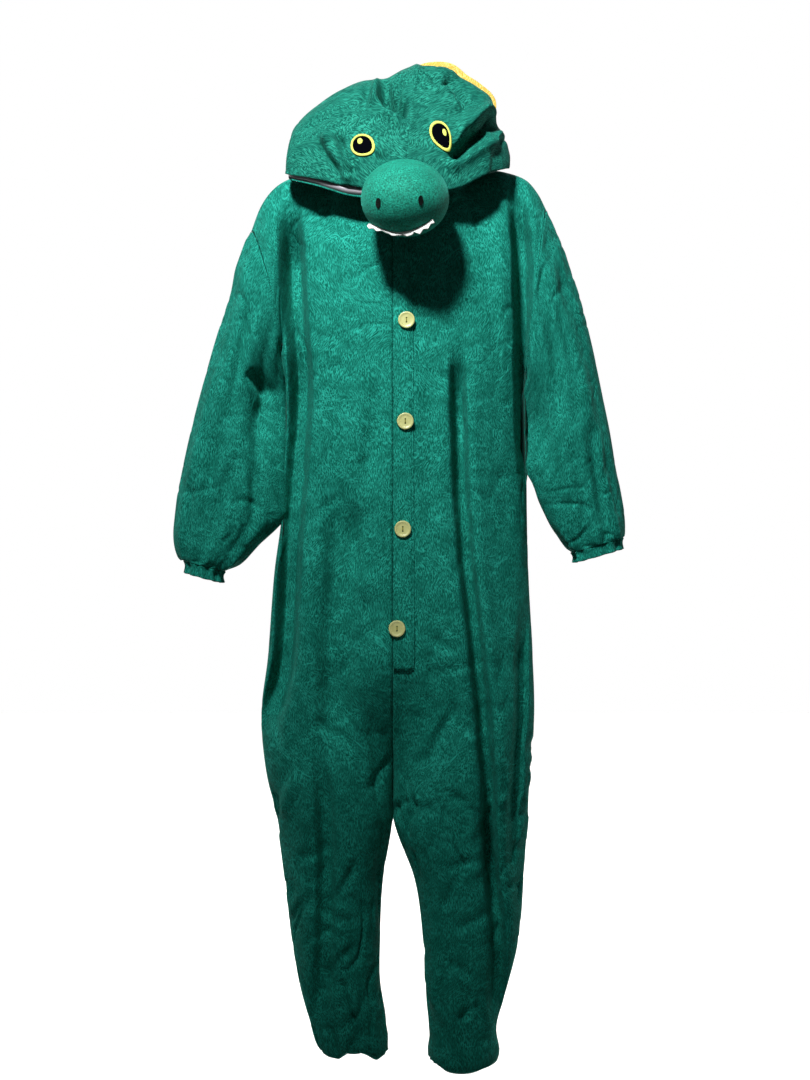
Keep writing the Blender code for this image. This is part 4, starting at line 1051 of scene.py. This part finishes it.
for side in (RIGHT, LEFT):
    named = SIDE_NAMES[side]

    def body_surface(turn, row, side=side):
        x, y, z = body_cloth(side, turn, row)
        return np.array((x + side * SEAM_SHOWN / 2, y - np.sign(turn) * SEAM_SHOWN / 2, z))

    sew(
        f"front_{named}_cloth", body_surface, (0.0005, 0.99985), (HEM_LOW, 2),
        (112, 340), PLUSH, -side, CLOTH, "green_plush",
    )
    sew(
        f"back_{named}_cloth", body_surface, (-0.99985, -0.0005), (HEM_LOW, 2),
        (84, 250), PLUSH, -side, CLOTH, "green_plush",
    )

    ankle, underarm = OUTLINE[side][0][0], OUTLINE[side][-1][0]
    hem_top = ankle + HEM_ROW * (underarm - ankle) - 5 * SEAM

    def hem_surface(turn, height, side=side):
        x, y, z = torso_and_leg(side, turn, height)
        outer, inner = read(OUTLINE[side], height)[:2]
        pleat = 1 + HEM_GATHER_DEPTH * np.cos(turn * math.pi * HEM_GATHERS)
        middle = (outer + inner) / 2
        return np.array((middle + (x - middle) * pleat, y * pleat, z))

    sew(
        f"hem_{named}_cloth", hem_surface, (-1, 1), (ankle, hem_top),
        (192, 8), PLUSH, -side, CLOTH, "green_plush", closed=True,
    )
    last = len(SLEEVE[side]) - 1
    sew(
        f"sleeve_{named}_cloth", lambda u, v, side=side: sleeve_cloth(side, u, v), (-1, 1), (0.02, last - 0.03),
        (120, 200), PLUSH, side, CLOTH, "green_plush", closed=True,
    )
    sew(
        f"cuff_{named}_cloth", lambda u, v, side=side: cuff(side, u, v), (-1, 1), (0.1, 2),
        (168, 12), PLUSH, side, CLOTH, "green_plush", closed=True,
    )

    def hood_surface(share, row, side=side):
        x, y, z = hood_cloth(side, share, row)
        return np.array((x + side * SEAM_SHOWN / 2, y, z))

    sew(
        f"hood_{named}_cloth", hood_surface, (0, 0.98), (0, 2),
        (120, 150), PLUSH, side, HOOD_CLOTH, "green_plush",
    )
    sew(
        f"chin_{named}_cloth", lambda u, v, side=side: chin(side, u, v), (0.02, 0.998), (0, 1),
        (60, 40), PLUSH, -side, CLOTH, "green_plush",
    )


def raised(turn, row, height):
    """A point on the left front, moved out over the panel."""
    x, y, z = plain_body(LEFT, turn, row)
    outward = -normals(lambda u, v: plain_body(LEFT, u, v), turn, row)
    return np.array((x + SEAM, y, z)) + outward * height


def placket_surface(turn, row):
    edge = np.abs((turn - PLACKET_TURNS[0]) / (PLACKET_TURNS[1] - PLACKET_TURNS[0]) - 0.5) * 2
    pucker = 0.5 * (lattice(row * 60, turn * 40, 5) - 0.5)
    groove = 0.8 * np.exp(-(((edge - 0.82) / 0.07) ** 2))
    sewn_down = 2.0 * ease((PLACKET_TURNS[0] + 0.02 - turn) / 0.02)
    return raised(turn, row, PLUSH + 1.5 * SEAM + pucker - groove - sewn_down)


sew("placket_cloth", placket_surface, PLACKET_TURNS, PLACKET_ROWS, (20, 260), PLUSH, -1, CLOTH, "green_plush")
sew(
    "hood_lining_right_cloth", lambda u, v: lining(RIGHT, u, v), (0.22, 0.84), (0, 1), (90, 16), SATIN, 1,
    (SATIN_CLOTH,), "grey_satin",
)
sew("teeth_cloth", tooth_strip, (-1, 1), (0, 1), (150, 12), FELT, 1, (WHITE_FELT,), "white_felt")


def make_crest():
    """The stuffed yellow crest along the crown, a little fuller in its middle than the plain solid."""

    def surface(share, high):
        row = CREST_ROW + 0 * share
        outward = normals(lambda u, v: hood(LEFT, u, v), share, row)
        swell = np.clip(np.sin((share - 0.01) / 0.6 * math.pi), 0, 1) ** 0.5
        return hood(LEFT, share, row) + outward * (-SEAM + (4 + (CREST_HIGH - 4) * swell) * high)

    sew("crest_cloth", surface, (0.02, 0.6), (0, 1), (80, 16), CREST_THICK, -1, (YELLOW_PLUSH,), "yellow_plush")


make_crest()


def make_snout():
    mesh = bmesh.new()
    bmesh.ops.create_uvsphere(mesh, u_segments=96, v_segments=64, radius=1)
    for vertex in mesh.verts:
        place = [centre + half * part for centre, half, part in zip(SNOUT_CENTRE, SNOUT_HALF, vertex.co)]
        past = place[1] - (SNOUT_BACK - SNOUT_ROUND)
        if past > 0:
            place[1] = SNOUT_BACK - SNOUT_ROUND + SNOUT_ROUND * math.tanh(past / SNOUT_ROUND)
        place[2] += SNOUT_RISE * float(ease((place[1] - SNOUT_CENTRE[1] + 20) / 50))
        vertex.co = [length * MM for length in place]
    snout = place_object("snout_cloth", mesh, (SNOUT_PLUSH,), "green_plush", "snout")
    for side, across, up in NOSTRILS:

        def surface(u, v, across=across, up=up):
            wide, high = disc(u, v)
            dome = 0.6 * (1 - np.clip(wide**2 + high**2, 0, 1))
            place = snout_front(across + NOSTRIL_HALF[0] * wide, up + NOSTRIL_HALF[1] * high)
            return place + np.array((0 * u, -NOSTRIL_OUT - dome, 0 * u))

        mesh = laid_grid(surface, (-1, 1), (-1, 1), (18, 18), 1)[0]
        nostril = f"nostril_{SIDE_NAMES[side]}"
        patch = place_object(f"{nostril}_stitch", mesh, (NOSTRIL_THREAD,), "dark_thread", nostril)
        thicken(patch, STITCH_THICK)


make_snout()

PAD_LIFT, PAD_DOME = 1.6, 0.9  # how far the pad stands off the hood, and its middle off its edge
RIM_LIFT, RIM_HIGH, RIM_AT, RIM_WIDE = 2.0, 1.1, 0.93, 0.11
GLINT_LIFT, GLINT_DOME, GLINT_NARROW = 2.5, 0.8, 0.8
# The eyes' outlines bulge towards a corner: angle of the corner, the glint's place and half size, then how
# far the eye slants.
EYE_CORNERS = {RIGHT: (-0.55, -0.16, 0.3, 0.26, 0), LEFT: (-1.2, 0.3, 0.16, 0.24, -0.35)}


def make_eye(side, share, row, half_share, half_row):
    corner, glint_across, glint_up, glint_half, slant = EYE_CORNERS[side]
    named = SIDE_NAMES[side]

    def lifted(wide, high, lift):
        wide = wide + slant * high
        at_share, at_row = share + half_share * side * wide, row + half_row * high
        outward = side * normals(lambda u, v: hood_cloth(side, u, v, False), at_share, at_row)
        return hood_cloth(side, at_share, at_row, False) + outward * lift

    def outline(angle):
        return 0.92 + 0.16 * np.clip(np.cos(angle - corner), 0, 1) ** 6

    def pad(across, up):
        wide, high = disc(across, up)
        angle = np.arctan2(high, wide)
        out = np.hypot(wide, high)
        return lifted(wide * outline(angle), high * outline(angle), PAD_LIFT + PAD_DOME * (1 - out**2))

    def rim(angle, section):
        out = outline(angle) * (RIM_AT + RIM_WIDE * np.cos(section))
        return lifted(out * np.cos(angle), out * np.sin(angle), RIM_LIFT + RIM_HIGH * np.sin(section))

    def glint(across, up):
        wide, high = disc(across, up)
        bulge = 1 - np.clip(wide**2 + high**2, 0, 1)
        at_across = glint_across + glint_half * GLINT_NARROW * wide
        return lifted(at_across, glint_up + glint_half * high, GLINT_LIFT + GLINT_DOME * bulge)

    mesh = laid_grid(pad, (-1, 1), (-1, 1), (40, 40), 1)[0]
    bmesh.ops.recalc_face_normals(mesh, faces=mesh.faces)
    eye = place_object(f"eye_{named}_stitch", mesh, (PUPIL_THREAD,), "dark_thread", f"eye_{named}")
    mesh = laid_grid(rim, (-math.pi, math.pi), (-math.pi, math.pi), (96, 12), 1, closed=True)[0]
    bmesh.ops.recalc_face_normals(mesh, faces=mesh.faces)
    place_object(f"eye_rim_{named}", mesh, (RIM_THREAD,), "yellow_plush")
    mesh = laid_grid(glint, (-1, 1), (-1, 1), (16, 16), 1)[0]
    spot = place_object(f"eye_glint_{named}", mesh, (RIM_THREAD,), "yellow_plush")
    for piece, thick in ((eye, PAD_THICK), (spot, STITCH_THICK)):
        thicken(piece, thick).use_even_offset = False


for eye in EYES:
    make_eye(*eye)

HOLE_RADIUS, HOLE_APART = 1.3, 6.4  # of a button's two thread holes, mm
# A button's half section from its middle out and round to the back: shares of the radius and the thickness.
BUTTON_SECTION = (
    (0, 0.32), (0.55, 0.32), (0.72, 0.4), (0.8, 0.56), (0.88, 0.6), (0.96, 0.5), (1, 0.2), (1, -0.2),
    (0.95, -0.45), (0.85, -0.5), (0, -0.5),
)


def make_button(number, x, z):
    """A turned two-hole button with a raised rim, and the thread between its holes."""
    low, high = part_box(f"button_{number}")
    middle_y = (low[1] + high[1]) / 2
    mesh = bmesh.new()
    section = [(part * BUTTON_RADIUS * MM, 0, up * BUTTON_THICK * MM) for part, up in BUTTON_SECTION]
    points = [mesh.verts.new(point) for point in section]
    edges = [mesh.edges.new(pair) for pair in zip(points, points[1:])]
    bmesh.ops.spin(
        mesh, geom=points + edges, cent=(0, 0, 0), axis=(0, 0, 1), angle=2 * math.pi, steps=48, use_merge=True
    )
    bmesh.ops.remove_doubles(mesh, verts=mesh.verts, dist=1e-6)
    bmesh.ops.recalc_face_normals(mesh, faces=mesh.faces)
    turn = Matrix.Rotation(math.pi / 2, 4, "X")
    shift = Matrix.Translation((x * MM, middle_y, z * MM))
    bmesh.ops.transform(mesh, matrix=shift @ turn, verts=mesh.verts)
    button = place_object(f"button_{number}_disc", mesh, (BUTTON_PLASTIC,), "olive_plastic", f"button_{number}")
    cut = bmesh.new()
    for up in (-HOLE_APART / 2, HOLE_APART / 2):
        made = bmesh.ops.create_cone(
            cut, cap_ends=True, segments=20, radius1=HOLE_RADIUS * MM, radius2=HOLE_RADIUS * MM, depth=0.02
        )
        bmesh.ops.translate(cut, verts=made["verts"], vec=(0, up * MM, 0))
    bmesh.ops.transform(cut, matrix=shift @ turn, verts=cut.verts)
    data = bpy.data.meshes.new("holes")
    cut.to_mesh(data)
    cut.free()
    cutter = bpy.data.objects.new("holes", data)
    bpy.context.scene.collection.objects.link(cutter)
    drill = button.modifiers.new("holes", "BOOLEAN")
    drill.object = cutter
    drilled = bpy.data.meshes.new_from_object(button.evaluated_get(bpy.context.evaluated_depsgraph_get()))
    button.modifiers.clear()
    button.data = drilled
    drilled.set_sharp_from_angle(angle=math.radians(40))
    bpy.data.objects.remove(cutter)
    mesh = bmesh.new()
    bmesh.ops.create_uvsphere(mesh, u_segments=16, v_segments=10, radius=1)
    size = Matrix.Diagonal((0.9 * MM, 0.8 * MM, HOLE_APART / 2 * MM, 1))
    front = Matrix.Translation((x * MM, middle_y - 0.3 * BUTTON_THICK * MM, z * MM))
    bmesh.ops.transform(mesh, matrix=front @ size, verts=mesh.verts)
    place_object(f"button_thread_{number}", mesh, (SEWING_THREAD,), "olive_plastic")


for number, (x, z) in enumerate(BUTTONS, 1):
    make_button(number, x, z)

FLOOR_DROP, FLOOR_HALF = 0.05, 7  # how far below the hems it lies, and its half size
SUN_WIDE = 40  # degrees across the lamp that lights it
floor_mesh = bmesh.new()
bmesh.ops.create_grid(floor_mesh, x_segments=8, y_segments=8, size=FLOOR_HALF)
bmesh.ops.translate(floor_mesh, verts=floor_mesh.verts, vec=(0, 0, frame_low[2] - FLOOR_DROP))
floor_data = bpy.data.meshes.new("floor")
floor_mesh.to_mesh(floor_data)
floor_mesh.free()
floor_data.materials.append(studio_paint("studio_paint", "#F2F2F0", "#F6F6F4"))
floor = bpy.data.objects.new("floor", floor_data)
bpy.context.scene.collection.objects.link(floor)
floor.visible_diffuse = False  # so the pale floor doesn't brighten the garment from below
floor_alone = bpy.data.collections.new("floor_alone")
floor_alone.objects.link(floor)

world = bpy.data.worlds.new("studio")
bpy.context.scene.world = world
world.use_nodes = True
room = world.node_tree
room_light = room.nodes["Background"]
room_light.inputs["Color"].default_value = linear("#FFFFFF")
seen = add_node(room, "ShaderNodeLightPath").outputs["Is Camera Ray"]
strength = add_node(room, "ShaderNodeMapRange", {"Value": seen, "To Min": ROOM_LIGHT, "To Max": 1})
room.links.new(strength.outputs[0], room_light.inputs["Strength"])

for name, spot, size, power, spread, target in LAMPS:
    lamp_data = bpy.data.lights.new(name, "AREA")
    lamp_data.size = size
    lamp_data.energy = power
    lamp_data.spread = math.radians(spread)
    lamp = bpy.data.objects.new(name, lamp_data)
    lamp.location = spot
    lamp.rotation_euler = (Vector(spot) - Vector(target)).to_track_quat("Z", "Y").to_euler()
    bpy.context.scene.collection.objects.link(lamp)

floor_light = bpy.data.lights.new("floor_light", "SUN")
floor_light.energy = FLOOR_LIGHT
floor_light.angle = math.radians(SUN_WIDE)
floor_lamp = bpy.data.objects.new("floor_lamp", floor_light)
bpy.context.scene.collection.objects.link(floor_lamp)
floor_lamp.light_linking.receiver_collection = floor_alone
